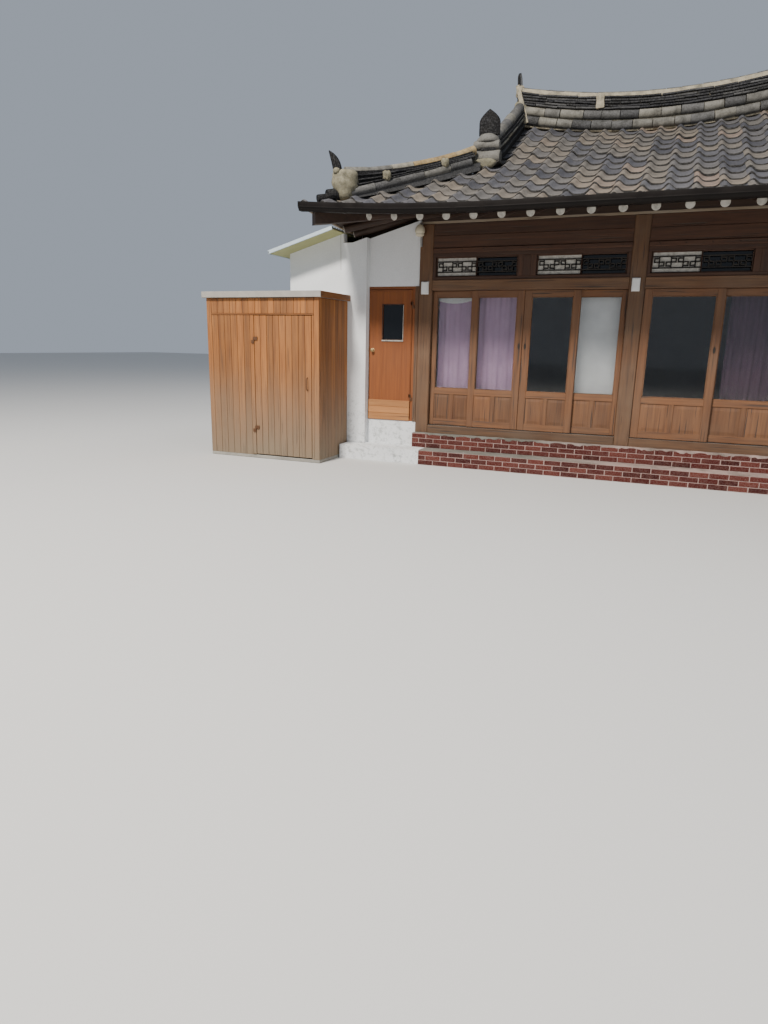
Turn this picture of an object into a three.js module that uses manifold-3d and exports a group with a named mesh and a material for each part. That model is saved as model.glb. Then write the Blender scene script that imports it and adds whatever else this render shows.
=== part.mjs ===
// A small two-bay hanok house: brick base, timber front with sliding lattice doors, hip-and-gable
// tiled roof, with a white plastered lean-to and a boarded shed on its left.
// Millimetres, +Z up. The front faces -Y. The model's origin is the centre of its footprint.
import * as THREE from 'three';
import { mergeVertices } from 'three/addons/utils/BufferGeometryUtils.js';
import Module from 'manifold-3d';

const wasm = await Module();
wasm.setup();

// Plan of the house, worked in a frame whose origin lies on the ground under the middle of the house
const BAY = 2770;              // one bay, post centre to post centre
const DEPTH = 4670;            // front posts to back posts, centre to centre
const POST = 190;
const SEAT = 0.3;              // the gap left between touching pieces
const FRONT = -DEPTH / 2 - POST / 2;   // outer face of the front posts
const BACK = -FRONT;
const POST_BACK = FRONT + POST;
const WALL = 130;              // plastered wall
const WALL_OUT = BAY + POST / 2 - 30;
const WALL_IN = WALL_OUT - WALL;

// Heights above the ground
const STEP_TOP = 200;
const BASE_TOP = 404;
const SILL_TOP = 520;
const FLOOR_TOP = 480;
const LINTEL_BOTTOM = 2377;
const LINTEL_TOP = 2514;
const TRANSOM_BOTTOM = 2556;
const TRANSOM_TOP = 2811;
const TRANSOM_JAMB = 42;       // from a post to the nearest transom window
const TRANSOM_POST = 123;      // half the board between a bay's two transom windows
const TRANSOM_REBATE = 20;     // the glass lies in a rebate that starts this far from the posts
const WALL_TOP = 3240;
const WALL_BEAMS = [[BASE_TOP + SEAT, SILL_TOP], [1420, 1540], [LINTEL_BOTTOM, 2497]];

// Base
const BASE_HALF_X = 2870;
const BASE_HALF_Y = 2534;
const STEP_FRONT = -2820;
const STEP_LEFT = -2667;
const PLATFORM_LEFT = -3897;

// Main roof: the tile surface rises from the eave by SLOPE and sweeps up by SWEEP
const EAVE_HALF_X = 3967;
const EAVE_HALF_Y = 3720;
const EAVE_TOP = 3250;
const SLOPE = 0.4;
const SWEEP = 2.2546e-5;
const ROOF_THICK = 90;         // thickness at the eave and above the hips; between them clay fills
                               // the room down to the boards
const EAVE_LIFT = 120;         // rise of the eave at the corners
const LIFT_LENGTH = 2600;
const HIP_RUN = 1730;          // how far in from the eaves the hips end
const VERGE = EAVE_HALF_X - HIP_RUN;
const TILE_PITCH = 262;        // one roll and one trough of the tiles
const ROLL_HEIGHT = 60;        // from a trough up to the top of a roll
const RIDGE_SAG = 170;         // how far the front and back dip under the middle of the ridge
const SAG_HALF = 1900;
const SAG_START = 1200;        // where the dip begins, in from the eave
const GABLE_SETBACK = 300;
const GABLE_THICK = 90;

// Eave rafters and the boards on them
const RAFTER_PITCH = 330;
const RAFTER_RADIUS = 50;
const RAFTER_START = 120;
const RAFTER_END = 1700;
const FAN_END = 1450;
const FAN_CLEAR = 600;         // no fanned rafter's end lies nearer than this to the eave corner
const BOARD_THICK = 30;
const BOARD_START = 60;
const DECK_COLUMNS = 42;       // divisions of a deck along its eave, fine enough to follow the lift
const DECK_ROWS = 5;
const DECK_LIFT = 0.92;        // a deck's share of the eave's lift at the corners
const DECK_GAP = 0.8;          // between a deck and the fill on it, whose lifted corners are curved
const BOARD_BITE = 10;         // how far the logs reach into the boards
const PLATE = 160;             // the square purlin on top of the walls
const PLATE_RISE = 330;        // rise of the boards from the eave to the purlin's outer edge
const SIDE_DROP = 13;          // how much lower the boards start on the steeper left and right sides

// Ridges
const RIDGE_MIDDLE_TOP = 5350;
const RIDGE_END_TOP = 5590;
const RIDGE_HALF_LENGTH = 2150;
const RIDGE_BASE = 320;
const RIDGE_BITE = 75;
const SIDE_RIDGE_BASE = 250;
const SIDE_RIDGE_HEIGHT = 350;
const SIDE_RIDGE_INSET = 135;  // its centre line, in from the verge
const CORNER_END = 300;        // where the corner ridge stops, in from the eave corner
const CORNER_RIDGE = [290, 200, 260];   // its height at the bend, first fall and last growth
const RIDGE_STACK = [250, 240, 465, 365];   // broad, deep, tall, and its top above the tiles
const RIDGE_END_TILE = [250, 230, 36];      // pointed tiles: broad, tall, thick
const BEND_TILE = [260, 330, 45];
const HORN_TILE = [180, 290, 40];
const HORN_LEAN = 0.35;
const LUMP_RADIUS = 200;       // mortar lump round the corner ridge's end
const LUMP_IN = 445;           // its centre, in from the eave corner
const LUMP_RISE = 85;

// Gutter under the front eave, in lengths
const GUTTER_BROAD = 110;
const GUTTER_DEEP = 105;
const GUTTER_WALL = 8;
const GUTTER_PAST = 30;        // how far it runs past the eave corners
const GUTTER_DROP = 29;        // its rim, below the eave's edge
const GUTTER_LENGTHS = 4;

// Sliding door leaves
const LEAF_THICK = 32;
const LEAF_BOTTOM = SILL_TOP + 6;
const LEAF_TOP = LINTEL_BOTTOM - 5;
const LEAF_GAP = 5;
const STILE = 92;
const JAMB_STILE = 60;
const RAIL_BOTTOM_TOP = 612;
const RAIL_MIDDLE_BOTTOM = 966;
const RAIL_MIDDLE_TOP = 1050;
const RAIL_TOP_BOTTOM = 2291;
const PANEL_THICK = 14;
const PANEL_POST = 60;         // between a leaf's two panels
const ROLLER_LENGTH = 40;
const ROLLER_IN = 70;          // in from a leaf's edges
const GLASS_THICK = 6;
const LEFT_BAY_TRACKS = [-2350, -2392, -2392, -2350];
const RIGHT_BAY_TRACKS = [-2406, -2367, -2328];
const LEFT_LEAF_INNER = 719;
const LEFT_LEAF_OUTER = 666;
const RIGHT_LEAF_OVERLAP = 90;

// Cloth behind the leaves, from left to right
const LEFT_CURTAIN = [-2640, -1420];
const RIGHT_CURTAIN = [1080, 2600];
const BLIND = [-700, -115];
const CURTAIN_FOOT = 620;
const BLIND_FOOT = 1000;

// Hinge pins of the two doors that turn
const PIN_RADIUS = 7;
const PIN_LENGTH = 45;

// Lean-to on the left
const ANNEX_LEFT = -4857;
const ANNEX_FRONT = -2520;
const ANNEX_PIER_RIGHT = -3627;
const ANNEX_WALL = 120;
const ANNEX_RECESS = -2400;    // front plane of the recessed door
const ANNEX_BASE_TOP = 540;
const ANNEX_EAVE_Z = 2903;
const ANNEX_SLOPE = 0.287;
const ANNEX_ROOF_LEFT = -4997;
const ANNEX_ROOF_FRONT = -2900;
const ANNEX_ROOF_THICK = 45;
const ANNEX_ROOF_PAST = 150;   // how far its roof runs past the back wall
const DOOR_LEFT = -3667;
const DOOR_RIGHT = -2922;
const DOOR_BOTTOM = 552;
const DOOR_TOP = 2440;
const DOOR_FRAME = 38;
const DOOR_CLEAR = 5;
const DOOR_THICK = 38;
const DOOR_WINDOW = [-3412, -3104, 1705, 2190];   // its sides, sill and head
const DOOR_KNOB_Z = 1557;
const KICK_TOP = 847;
const KICK_THICK = 18;

// Boarded shed in front of the lean-to
const SHED_LEFT = -5717;
const SHED_RIGHT = -3917;
const SHED_FRONT = -3420;
const SHED_TOP = 2234;
const SHED_BOARD = 30;
const SHED_BACK_LAP = 60;        // how far the back boards pass in front of the lean-to's wall
const SHED_POST = 80;
const SHED_ROOF_THICK = 82;
const SHED_OVERHANG = 45;
const SHED_DOOR_LEFT = -4937;
const SHED_DOOR_RIGHT = -4037;
const SHED_DOOR_BOTTOM = 60;
const SHED_DOOR_TOP = 2000;
const SHED_JAMB = 60;
const SHED_HINGES = [380, 1620];
const SHED_HANDLE = [35, 70, 1000, 1180];   // out from the door, in from its edge, and its two ends

const finish = (color, roughness, metalness = 0) => () =>
  new THREE.MeshStandardMaterial({ color, roughness, metalness });
const brick = finish(0x7b3f3a, 0.85);
const plaster = finish(0xe6e6e2, 0.8);
const concrete = finish(0xb9b4aa, 0.9);
const darkWood = finish(0x4a2c1c, 0.6);
const oldWood = finish(0x8a5a38, 0.65);
const orangeWood = finish(0xa8632f, 0.55);
const tile = finish(0x77797a, 0.75);
const ridgeTile = finish(0x6a6a66, 0.8);
const glass = finish(0x1f2426, 0.1);
const curtain = finish(0x8d7796, 0.9);
const blindCloth = finish(0xe9ecec, 0.8);
const gutterMetal = finish(0x2b211d, 0.35, 0.5);

const house = new THREE.Group();

// Six times the volume that a closed triangle mesh encloses, negative where it is inside out
function signedVolume(points, index) {
  const [a, b, c] = [new THREE.Vector3(), new THREE.Vector3(), new THREE.Vector3()];
  let sum = 0;
  for (let i = 0; i < index.length; i += 3) {
    a.fromArray(points, 3 * index[i]);
    b.fromArray(points, 3 * index[i + 1]);
    c.fromArray(points, 3 * index[i + 2]);
    sum += a.dot(b.cross(c));
  }
  return sum;
}

// The solid that a closed geometry bounds, with its shared points merged and its faces outwards
function solid(geometry) {
  const bare = geometry.clone();
  bare.deleteAttribute('normal');
  bare.deleteAttribute('uv');
  const merged = mergeVertices(bare);
  const points = Float32Array.from(merged.attributes.position.array);
  const index = Uint32Array.from(merged.index.array);
  if (signedVolume(points, index) < 0) {
    for (let i = 0; i < index.length; i += 3) {
      [index[i], index[i + 1]] = [index[i + 1], index[i]];
    }
  }
  return new wasm.Manifold(new wasm.Mesh({ numProp: 3, vertProperties: points, triVerts: index }));
}

const together = (bodies) => bodies.reduce((sum, next) => sum.add(next));
const join = (...geometries) => together(geometries.map(solid));
const cut = (body, ...tools) => tools.reduce((left, tool) => left.subtract(tool), body);

// The biggest of the pieces that a cut leaves: slivers under the tiles are dropped
const bigger = (best, next) => (next.volume() > best.volume() ? next : best);
const largest = (body) => body.decompose().reduce(bigger);

function geometryOf(body) {
  const { vertProperties, triVerts } = body.getMesh();
  const geometry = new THREE.BufferGeometry();
  geometry.setAttribute('position', new THREE.BufferAttribute(Float32Array.from(vertProperties), 3));
  geometry.setIndex(new THREE.BufferAttribute(Uint32Array.from(triVerts), 1));
  geometry.computeVertexNormals();
  return geometry;
}

function add(name, body, material) {
  const mesh = new THREE.Mesh(geometryOf(body), material());
  mesh.name = name;
  house.add(mesh);
}

function box(x0, x1, y0, y1, z0, z1) {
  const geometry = new THREE.BoxGeometry(x1 - x0, y1 - y0, z1 - z0);
  return geometry.translate((x0 + x1) / 2, (y0 + y1) / 2, (z0 + z1) / 2);
}

// A box divided nu by nv by nw, whose points (u, v, w) from 0 to 1 are moved to place(u, v, w)
function mapped(nu, nv, nw, place) {
  const geometry = new THREE.BoxGeometry(1, 1, 1, nu, nv, nw);
  const points = geometry.attributes.position;
  for (let i = 0; i < points.count; i++) {
    points.setXYZ(i, ...place(points.getX(i) + 0.5, points.getY(i) + 0.5, points.getZ(i) + 0.5));
  }
  return geometry;
}

// An outline of [x, z] corners carried along Y, and one of [y, z] corners carried along X
const ALONG_Y = new THREE.Matrix4().makeBasis(
  new THREE.Vector3(1, 0, 0), new THREE.Vector3(0, 0, 1), new THREE.Vector3(0, -1, 0));
const ALONG_X = new THREE.Matrix4().makeBasis(
  new THREE.Vector3(0, 1, 0), new THREE.Vector3(0, 0, 1), new THREE.Vector3(1, 0, 0));

function extruded(corners, depth) {
  const shape = new THREE.Shape(corners.map(([a, b]) => new THREE.Vector2(a, b)));
  return new THREE.ExtrudeGeometry(shape, { depth, bevelEnabled: false, curveSegments: 4 });
}

const prismY = (corners, y0, y1) => extruded(corners, y1 - y0).applyMatrix4(ALONG_Y).translate(0, y1, 0);
const prismX = (corners, x0, x1) => extruded(corners, x1 - x0).applyMatrix4(ALONG_X).translate(x0, 0, 0);

function log(from, to, radius, sides = 6) {
  const start = new THREE.Vector3(...from);
  const along = new THREE.Vector3(...to).sub(start);
  const geometry = new THREE.CylinderGeometry(radius, radius, along.length(), sides);
  const upright = new THREE.Vector3(0, 1, 0);
  const turn = new THREE.Quaternion().setFromUnitVectors(upright, along.clone().normalize());
  return geometry.applyQuaternion(turn).translate(...start.addScaledVector(along, 0.5).toArray());
}

// A pointed arch of a tile that closes a ridge, standing on z = 0 and facing -Y
function arch(width, height, thick) {
  const shape = new THREE.Shape();
  shape.moveTo(-width / 2, 0);
  shape.lineTo(width / 2, 0);
  shape.lineTo(width / 2, height * 0.45);
  shape.quadraticCurveTo(width / 2, height * 0.8, 0, height);
  shape.quadraticCurveTo(-width / 2, height * 0.8, -width / 2, height * 0.45);
  const options = { depth: thick, bevelEnabled: false, curveSegments: 3 };
  const geometry = new THREE.ExtrudeGeometry(shape, options);
  return geometry.applyMatrix4(ALONG_Y).translate(0, thick / 2, 0);
}

// Roof surface. d is the distance in from the nearest eave, s the distance from its corner.
const lift = (d, s) =>
  EAVE_LIFT * Math.max(0, 1 - s / LIFT_LENGTH) ** 2 * Math.max(0, 1 - d / HIP_RUN);
const tileTop = (d, s) => EAVE_TOP + SLOPE * d + SWEEP * d * d + lift(d, s);
const SAG_RUN = EAVE_HALF_Y - SAG_START;
const sag = (x, d) =>
  RIDGE_SAG * Math.max(0, 1 - (x / SAG_HALF) ** 2) * Math.max(0, (d - SAG_START) / SAG_RUN) ** 2;
const boardLine = (d, { plateRun, drop }) =>
  EAVE_TOP - ROOF_THICK - drop + ((PLATE_RISE + drop) * d) / plateRun;
const boardTop = (d, s, side) => boardLine(d, side) - DECK_GAP + DECK_LIFT * lift(d, s);

function roofHeight(x, y) {
  const fromSide = EAVE_HALF_X - Math.abs(x);
  const fromFront = EAVE_HALF_Y - Math.abs(y);
  if (Math.abs(x) < VERGE || fromFront < fromSide) return tileTop(fromFront, fromSide) - sag(x, fromFront);
  return tileTop(fromSide, fromFront);
}

// Each slope is drawn as (a, d, z), with a along its eave and d in from it, then turned into place
function sidePlace(turn, halfRun) {
  const toEave = new THREE.Matrix4().makeTranslation(0, -halfRun, 0);
  return new THREE.Matrix4().makeRotationZ(turn).multiply(toEave);
}
const frontRun = {
  half: EAVE_HALF_X, plateRun: EAVE_HALF_Y - DEPTH / 2 - PLATE / 2, drop: 0, dips: true,
};
const sideRun = {
  half: EAVE_HALF_Y, plateRun: EAVE_HALF_X - BAY - PLATE / 2, drop: SIDE_DROP, dips: false,
};
const SIDES = {
  front: { place: sidePlace(0, EAVE_HALF_Y), ...frontRun },
  right: { place: sidePlace(Math.PI / 2, EAVE_HALF_X), ...sideRun },
  back: { place: sidePlace(Math.PI, EAVE_HALF_Y), ...frontRun },
  left: { place: sidePlace(-Math.PI / 2, EAVE_HALF_X), ...sideRun },
};

// A tiled slope: its rolls run up from the eave, and its hips are mitred. grow makes it larger all round,
// for cutting what rests on it.
function slope(side, run, hipRun, grow) {
  const { place, half, dips } = SIDES[side];
  const [hipRows, upperRows, rolls] = [5, run > hipRun ? 4 : 0, Math.round((2 * half) / TILE_PITCH)];
  const rows = hipRows + upperRows;
  const sheet = mapped(2 * rolls, rows, 1, (u, v, w) => {
    const row = v * rows;
    const above = row - hipRows;
    const d = above <= 0 ? (hipRun * row) / hipRows : hipRun + ((run - hipRun) * above) / upperRows;
    const a = (2 * u - 1) * (half + 1);
    const trough = Math.round(2 * rolls * u) % 2;
    const crest = tileTop(d, half - Math.abs(a)) - (dips ? sag(a, d) : 0);
    const fill = d < RAFTER_END ? boardLine(d, SIDES[side]) + lift(d, half - Math.abs(a)) : crest;
    const under = Math.min(crest - ROOF_THICK, fill);
    const z = w === 1 ? crest - ROLL_HEIGHT * trough + grow : under - grow;
    const shifted = v === 0 ? d - grow : v === 1 ? d - SEAT / 2 + grow : d;
    return [a, shifted, z];
  });
  const mitre = grow - SEAT / Math.SQRT2;
  const past = 10;
  const corners = [[half + past + mitre, -past], [half - hipRun + mitre, hipRun],
    [half - hipRun + mitre, run + past]];
  const outline = [...corners, ...corners.map(([a, d]) => [-a, d]).reverse()];
  const trim = solid(extruded(outline, 4000).translate(0, 0, 2500).applyMatrix4(place));
  return solid(sheet.applyMatrix4(place)).intersect(trim);
}

const GABLE_RUN = HIP_RUN + GABLE_SETBACK;
const roofFront = slope('front', EAVE_HALF_Y, HIP_RUN, 0);
const roofBack = slope('back', EAVE_HALF_Y, HIP_RUN, 0);
const frontClear = slope('front', EAVE_HALF_Y, HIP_RUN, SEAT);
const backClear = slope('back', EAVE_HALF_Y, HIP_RUN, SEAT);
const sideClear = ['left', 'right'].map((side) => slope(side, GABLE_RUN, GABLE_RUN, SEAT));
const roofClear = [frontClear, backClear, ...sideClear];

function buildRoof() {
  add('roof_front', roofFront, tile);
  add('roof_back', roofBack, tile);
  for (const side of ['left', 'right']) {
    add(`roof_${side}`, largest(cut(slope(side, GABLE_RUN, GABLE_RUN, 0), frontClear, backClear)), tile);
  }
  const gableFace = VERGE - GABLE_SETBACK;
  const foot = tileTop(GABLE_RUN, LIFT_LENGTH) - ROOF_THICK;
  const halfFoot = EAVE_HALF_Y - GABLE_RUN + 2 * ROOF_THICK;
  const steps = 6;
  const curved = [[-halfFoot, foot], [halfFoot, foot]];
  for (let i = 1; i < 2 * steps; i++) {
    const y = halfFoot * (1 - i / steps);
    curved.push([y, tileTop(EAVE_HALF_Y - Math.abs(y), LIFT_LENGTH) - ROOF_THICK / 2]);
  }
  for (const [name, x0] of [['gable_left', -gableFace], ['gable_right', gableFace - GABLE_THICK]]) {
    const raw = solid(prismX(curved, x0, x0 + GABLE_THICK));
    add(name, largest(cut(raw, ...roofClear)), plaster);
  }
}

// Half a ridge's section: shares of its base's width and of its height, from the foot to the rounded top
const RIDGE_SECTION = [[1, 0], [1, 0.36], [0.72, 0.44], [0.66, 0.82], [0.4, 1]];

// A ridge of stacked tiles along a path in plan, broad at its foot and rounded on top
function ridgeBody(path, heightAt, base) {
  const steps = path.length - 1;
  const levels = RIDGE_SECTION.length - 1;
  const geometry = mapped(steps, 2, levels, (u, v, w) => {
    const i = Math.round(u * steps);
    const here = path[i];
    const next = path[Math.min(i + 1, steps)];
    const last = path[Math.max(i - 1, 0)];
    const along = new THREE.Vector2(next[0] - last[0], next[1] - last[1]).normalize();
    const [broad, up] = RIDGE_SECTION[Math.round(w * levels)];
    const side = (v - 0.5) * base * broad;
    const x = here[0] - along.y * side;
    const y = here[1] + along.x * side;
    const foot = roofHeight(w === 0 ? x : here[0], w === 0 ? y : here[1]);
    return [x, y, foot - RIDGE_BITE + up * (heightAt(u) + RIDGE_BITE)];
  });
  return solid(geometry);
}

const between = (from, to, steps) => Array.from({ length: steps + 1 }, (_, i) =>
  [from[0] + ((to[0] - from[0]) * i) / steps, from[1] + ((to[1] - from[1]) * i) / steps]);

function buildRidges() {
  const ends = RIDGE_HALF_LENGTH;
  const top = (x) => RIDGE_MIDDLE_TOP + (RIDGE_END_TOP - RIDGE_MIDDLE_TOP) * (x / ends) ** 2;
  const path = between([-ends, 0], [ends, 0], 10);
  const rise = (x) => top(x) - roofHeight(x, 0);
  let main = ridgeBody(path, (u) => rise((2 * u - 1) * ends), RIDGE_BASE);
  for (const way of [-1, 1]) {
    const endTile = arch(...RIDGE_END_TILE).rotateZ(Math.PI / 2);
    main = main.add(solid(endTile.translate(way * (ends - 10), 0, RIDGE_END_TOP - 30)));
  }
  add('main_ridge', largest(cut(main, ...roofClear)), ridgeTile);

  const clear = RIDGE_BASE / 2 + SEAT;
  const mainClear = solid(box(-ends - 60, ends + 60, -clear, clear, RIDGE_END_TOP - 1100, RIDGE_END_TOP + 500));
  const line = VERGE - SIDE_RIDGE_INSET;
  const corner = EAVE_HALF_Y - (EAVE_HALF_X - line);
  const [stackBroad, stackDeep, stackTall, stackRise] = RIDGE_STACK;
  const [heightAtBend, firstFall, lastGrowth] = CORNER_RIDGE;
  for (const [end, wayY] of [['front', -1], ['back', 1]]) {
    for (const [side, wayX] of [['left', -1], ['right', 1]]) {
      const bend = [wayX * line, wayY * corner];
      const outer = [wayX * (EAVE_HALF_X - CORNER_END), wayY * (EAVE_HALF_Y - CORNER_END)];
      const start = [wayX * line, wayY * 100];
      const upper = ridgeBody(between(start, bend, 5), () => SIDE_RIDGE_HEIGHT, SIDE_RIDGE_BASE);
      const swept = (u) => heightAtBend - firstFall * u + lastGrowth * u * u;
      const lower = ridgeBody(between(bend, outer, 5), swept, SIDE_RIDGE_BASE);
      const stackTop = roofHeight(...bend) + stackRise;
      const stack = box(bend[0] - stackBroad / 2, bend[0] + stackBroad / 2,
        bend[1] - stackDeep / 2, bend[1] + stackDeep / 2, stackTop - stackTall, stackTop);
      const face = bend[1] + (wayY * stackDeep) / 4;
      const faceTile = arch(...BEND_TILE).translate(bend[0], face, stackTop - 30);
      const diagonal = Math.atan2(outer[1] - bend[1], outer[0] - bend[0]) + Math.PI / 2;
      const horn = arch(...HORN_TILE).rotateX(HORN_LEAN).rotateZ(diagonal)
        .translate(outer[0], outer[1], roofHeight(...outer) + swept(1) - 20);
      const mortar = [wayX * (EAVE_HALF_X - LUMP_IN), wayY * (EAVE_HALF_Y - LUMP_IN)];
      const lump = new THREE.IcosahedronGeometry(LUMP_RADIUS, 1)
        .translate(mortar[0], mortar[1], roofHeight(...mortar) + LUMP_RISE);
      const whole = together([upper, lower, ...[stack, faceTile, horn, lump].map(solid)]);
      add(`ridge_${end}_${side}`, largest(cut(whole, ...roofClear, mainClear)), ridgeTile);
    }
  }
}

// The square hip beam under each eave corner, deeper at its outer end
function hipBeam(wayX, wayY, grow) {
  const width = 140 + 2 * grow;
  const outerRun = 90;
  return solid(mapped(4, 1, 1, (u, v, w) => {
    const run = outerRun + (FAN_END - outerRun) * u - (u === 0 ? grow : 0) + (u === 1 ? grow : 0);
    const top = boardTop(run, run, frontRun) - BOARD_THICK + BOARD_BITE;
    const deep = 98 + 75 * Math.max(0, 1 - run / 1100);
    const z = w === 1 ? top + grow : top - deep - grow;
    const side = ((v - 0.5) * width) / Math.SQRT2;
    return [wayX * (EAVE_HALF_X - run - side), wayY * (EAVE_HALF_Y - run + side), z];
  }));
}

// Blocks beyond the hip planes, which trim a side's boards and fanned rafters to the mitre
function mitreBlocks({ place, half }) {
  return [-1, 1].map((way) => {
    const edge = way * (half - SEAT);
    const far = way * (half + 2000);
    const shape = [[edge, 0], [far, 0], [far, half], [edge - way * half, half]];
    return solid(extruded(shape, 2000).translate(0, 0, 2600).applyMatrix4(place));
  });
}

// Round eave rafters under a deck of boards: parallel along the wall, fanned towards the corners
function rafterSet(side) {
  const { place, half } = side;
  const deck = mapped(DECK_COLUMNS, DECK_ROWS, 1, (u, v, w) => {
    const d = BOARD_START + (RAFTER_END - BOARD_START) * v;
    const a = (2 * u - 1) * (half - d - SEAT);
    return [a, d, boardTop(d, half - Math.abs(a), side) - BOARD_THICK * (1 - w)];
  });
  const drop = BOARD_THICK - BOARD_BITE + RAFTER_RADIUS;
  const centre = (a, d) => [a, d, boardTop(d, half - Math.abs(a), side) - drop];
  const rafter = (outer, inner, end) =>
    log(centre(outer, RAFTER_START), centre(inner, end), RAFTER_RADIUS);
  const straight = Math.floor((half - RAFTER_END) / RAFTER_PITCH + 0.5);
  const logs = [];
  for (let i = -straight; i < straight; i++) {
    const a = (i + 0.5) * RAFTER_PITCH;
    logs.push(rafter(a, a, RAFTER_END));
  }
  const last = (straight - 0.5) * RAFTER_PITCH;
  const room = half - FAN_END - 60 - last;
  const fans = Math.floor((half - FAN_CLEAR - last) / RAFTER_PITCH);
  for (let i = 1; i <= fans; i++) {
    for (const way of [-1, 1]) {
      logs.push(rafter(way * (last + i * RAFTER_PITCH), way * (last + (room * i) / fans), FAN_END));
    }
  }
  const whole = join(...[deck, ...logs].map((piece) => piece.applyMatrix4(place)));
  return largest(cut(whole, ...mitreBlocks(side)));
}

// The hip beams belong to the front and back; the left and right sides are notched round them
function buildRafters() {
  for (const [name, way] of [['front', -1], ['back', 1]]) {
    const whole = rafterSet(SIDES[name]).add(hipBeam(-1, way, 0)).add(hipBeam(1, way, 0));
    add(`rafters_${name}`, whole, darkWood);
  }
  for (const [name, way] of [['left', -1], ['right', 1]]) {
    const whole = cut(rafterSet(SIDES[name]), hipBeam(way, -1, SEAT), hipBeam(way, 1, SEAT));
    add(`rafters_${name}`, largest(whole), darkWood);
  }
}

// Each length is the gutter's channel section carried along X, and follows the rise of the eave
function buildGutter() {
  const slant = 0.7;
  const shoulder = 0.55;
  const [broad, deep, wall] = [GUTTER_BROAD, GUTTER_DEEP, GUTTER_WALL];
  const section = [
    [0, 0], [-wall, 0], [-wall, -deep + wall], [-broad * slant + wall, -deep + wall],
    [-broad + wall, -deep * shoulder], [-broad + wall, 0], [-broad, 0], [-broad, -deep * shoulder],
    [-broad * slant, -deep], [0, -deep],
  ];
  const shape = new THREE.Shape(section.map(([a, b]) => new THREE.Vector2(a, b)));
  const whole = 2 * (EAVE_HALF_X + GUTTER_PAST);
  const depth = whole / GUTTER_LENGTHS - SEAT;
  for (let part = 0; part < GUTTER_LENGTHS; part++) {
    const start = (whole * part) / GUTTER_LENGTHS - whole / 2;
    const geometry = new THREE.ExtrudeGeometry(shape, { depth, steps: 5, bevelEnabled: false });
    geometry.applyMatrix4(ALONG_X).translate(start, -EAVE_HALF_Y - SEAT, EAVE_TOP - GUTTER_DROP);
    const points = geometry.attributes.position;
    for (let i = 0; i < points.count; i++) {
      const fromCorner = Math.max(0, EAVE_HALF_X - Math.abs(points.getX(i)));
      points.setZ(i, points.getZ(i) + lift(0, fromCorner));
    }
    add(`gutter_length_${part + 1}`, solid(geometry), gutterMetal);
  }
}

function buildBase() {
  add('foundation', solid(box(-BASE_HALF_X, BASE_HALF_X, -BASE_HALF_Y, BASE_HALF_Y, 0, BASE_TOP)), brick);
  const stepBlock = (x0, x1) => solid(box(x0, x1, STEP_FRONT, -BASE_HALF_Y - SEAT, 0, STEP_TOP));
  add('brick_step', stepBlock(STEP_LEFT, BASE_HALF_X), brick);
  add('annex_platform', stepBlock(PLATFORM_LEFT, STEP_LEFT - SEAT), concrete);
  const floor = box(-WALL_IN + SEAT, WALL_IN - SEAT, POST_BACK + SEAT, BACK - POST - SEAT,
    BASE_TOP + SEAT, FLOOR_TOP);
  add('floor', solid(floor), oldWood);
}

// The two open bays of the front, each from post face to post face
const BAYS = { left_bay: [-BAY + POST / 2, -POST / 2], right_bay: [POST / 2, BAY - POST / 2] };

function buildFront() {
  for (const [name, x] of [['left', -BAY], ['middle', 0], ['right', BAY]]) {
    const post = box(x - POST / 2, x + POST / 2, FRONT, POST_BACK, BASE_TOP + SEAT, WALL_TOP - SEAT);
    add(`post_front_${name}`, solid(post), oldWood);
  }
  for (const [name, [left, right]] of Object.entries(BAYS)) {
    const [x0, x1] = [left + SEAT, right - SEAT];
    add(`sill_${name}`, solid(box(x0, x1, FRONT - 10, POST_BACK, BASE_TOP + SEAT, SILL_TOP)), oldWood);
    const beam = box(x0, x1, FRONT, POST_BACK, LINTEL_BOTTOM, LINTEL_TOP);
    const rail = box(x0, x1, POST_BACK - 1, POST_BACK + 55, LINTEL_BOTTOM, LINTEL_BOTTOM + 23);
    add(`lintel_${name}`, join(beam, rail), oldWood);
    buildHeader(name, left, right);
  }
}

// Transom frame with two windows and the header boards over it, with one sheet of glass behind
function buildHeader(name, left, right) {
  const back = FRONT + WALL;
  const middle = (left + right) / 2;
  const board = box(left + SEAT, right - SEAT, FRONT + 12, back, LINTEL_TOP + SEAT, WALL_TOP - SEAT);
  const holes = [[left + TRANSOM_JAMB, middle - TRANSOM_POST], [middle + TRANSOM_POST, right - TRANSOM_JAMB]]
    .map(([x0, x1]) => solid(box(x0, x1, FRONT - 50, back + 50, TRANSOM_BOTTOM, TRANSOM_TOP)));
  const [glassLeft, glassRight] = [left + TRANSOM_REBATE, right - TRANSOM_REBATE];
  const rebate = solid(box(glassLeft, glassRight, back - 30, back + 50,
    TRANSOM_BOTTOM - 15, TRANSOM_TOP + 15));
  add(`header_${name}`, cut(solid(board), ...holes, rebate), darkWood);
  const sheet = box(glassLeft + SEAT, glassRight - SEAT, back - 30 + SEAT, back - 24,
    TRANSOM_BOTTOM - 15 + SEAT, TRANSOM_TOP + 15 - SEAT);
  add(`transom_glass_${name}`, solid(sheet), glass);
}

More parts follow.
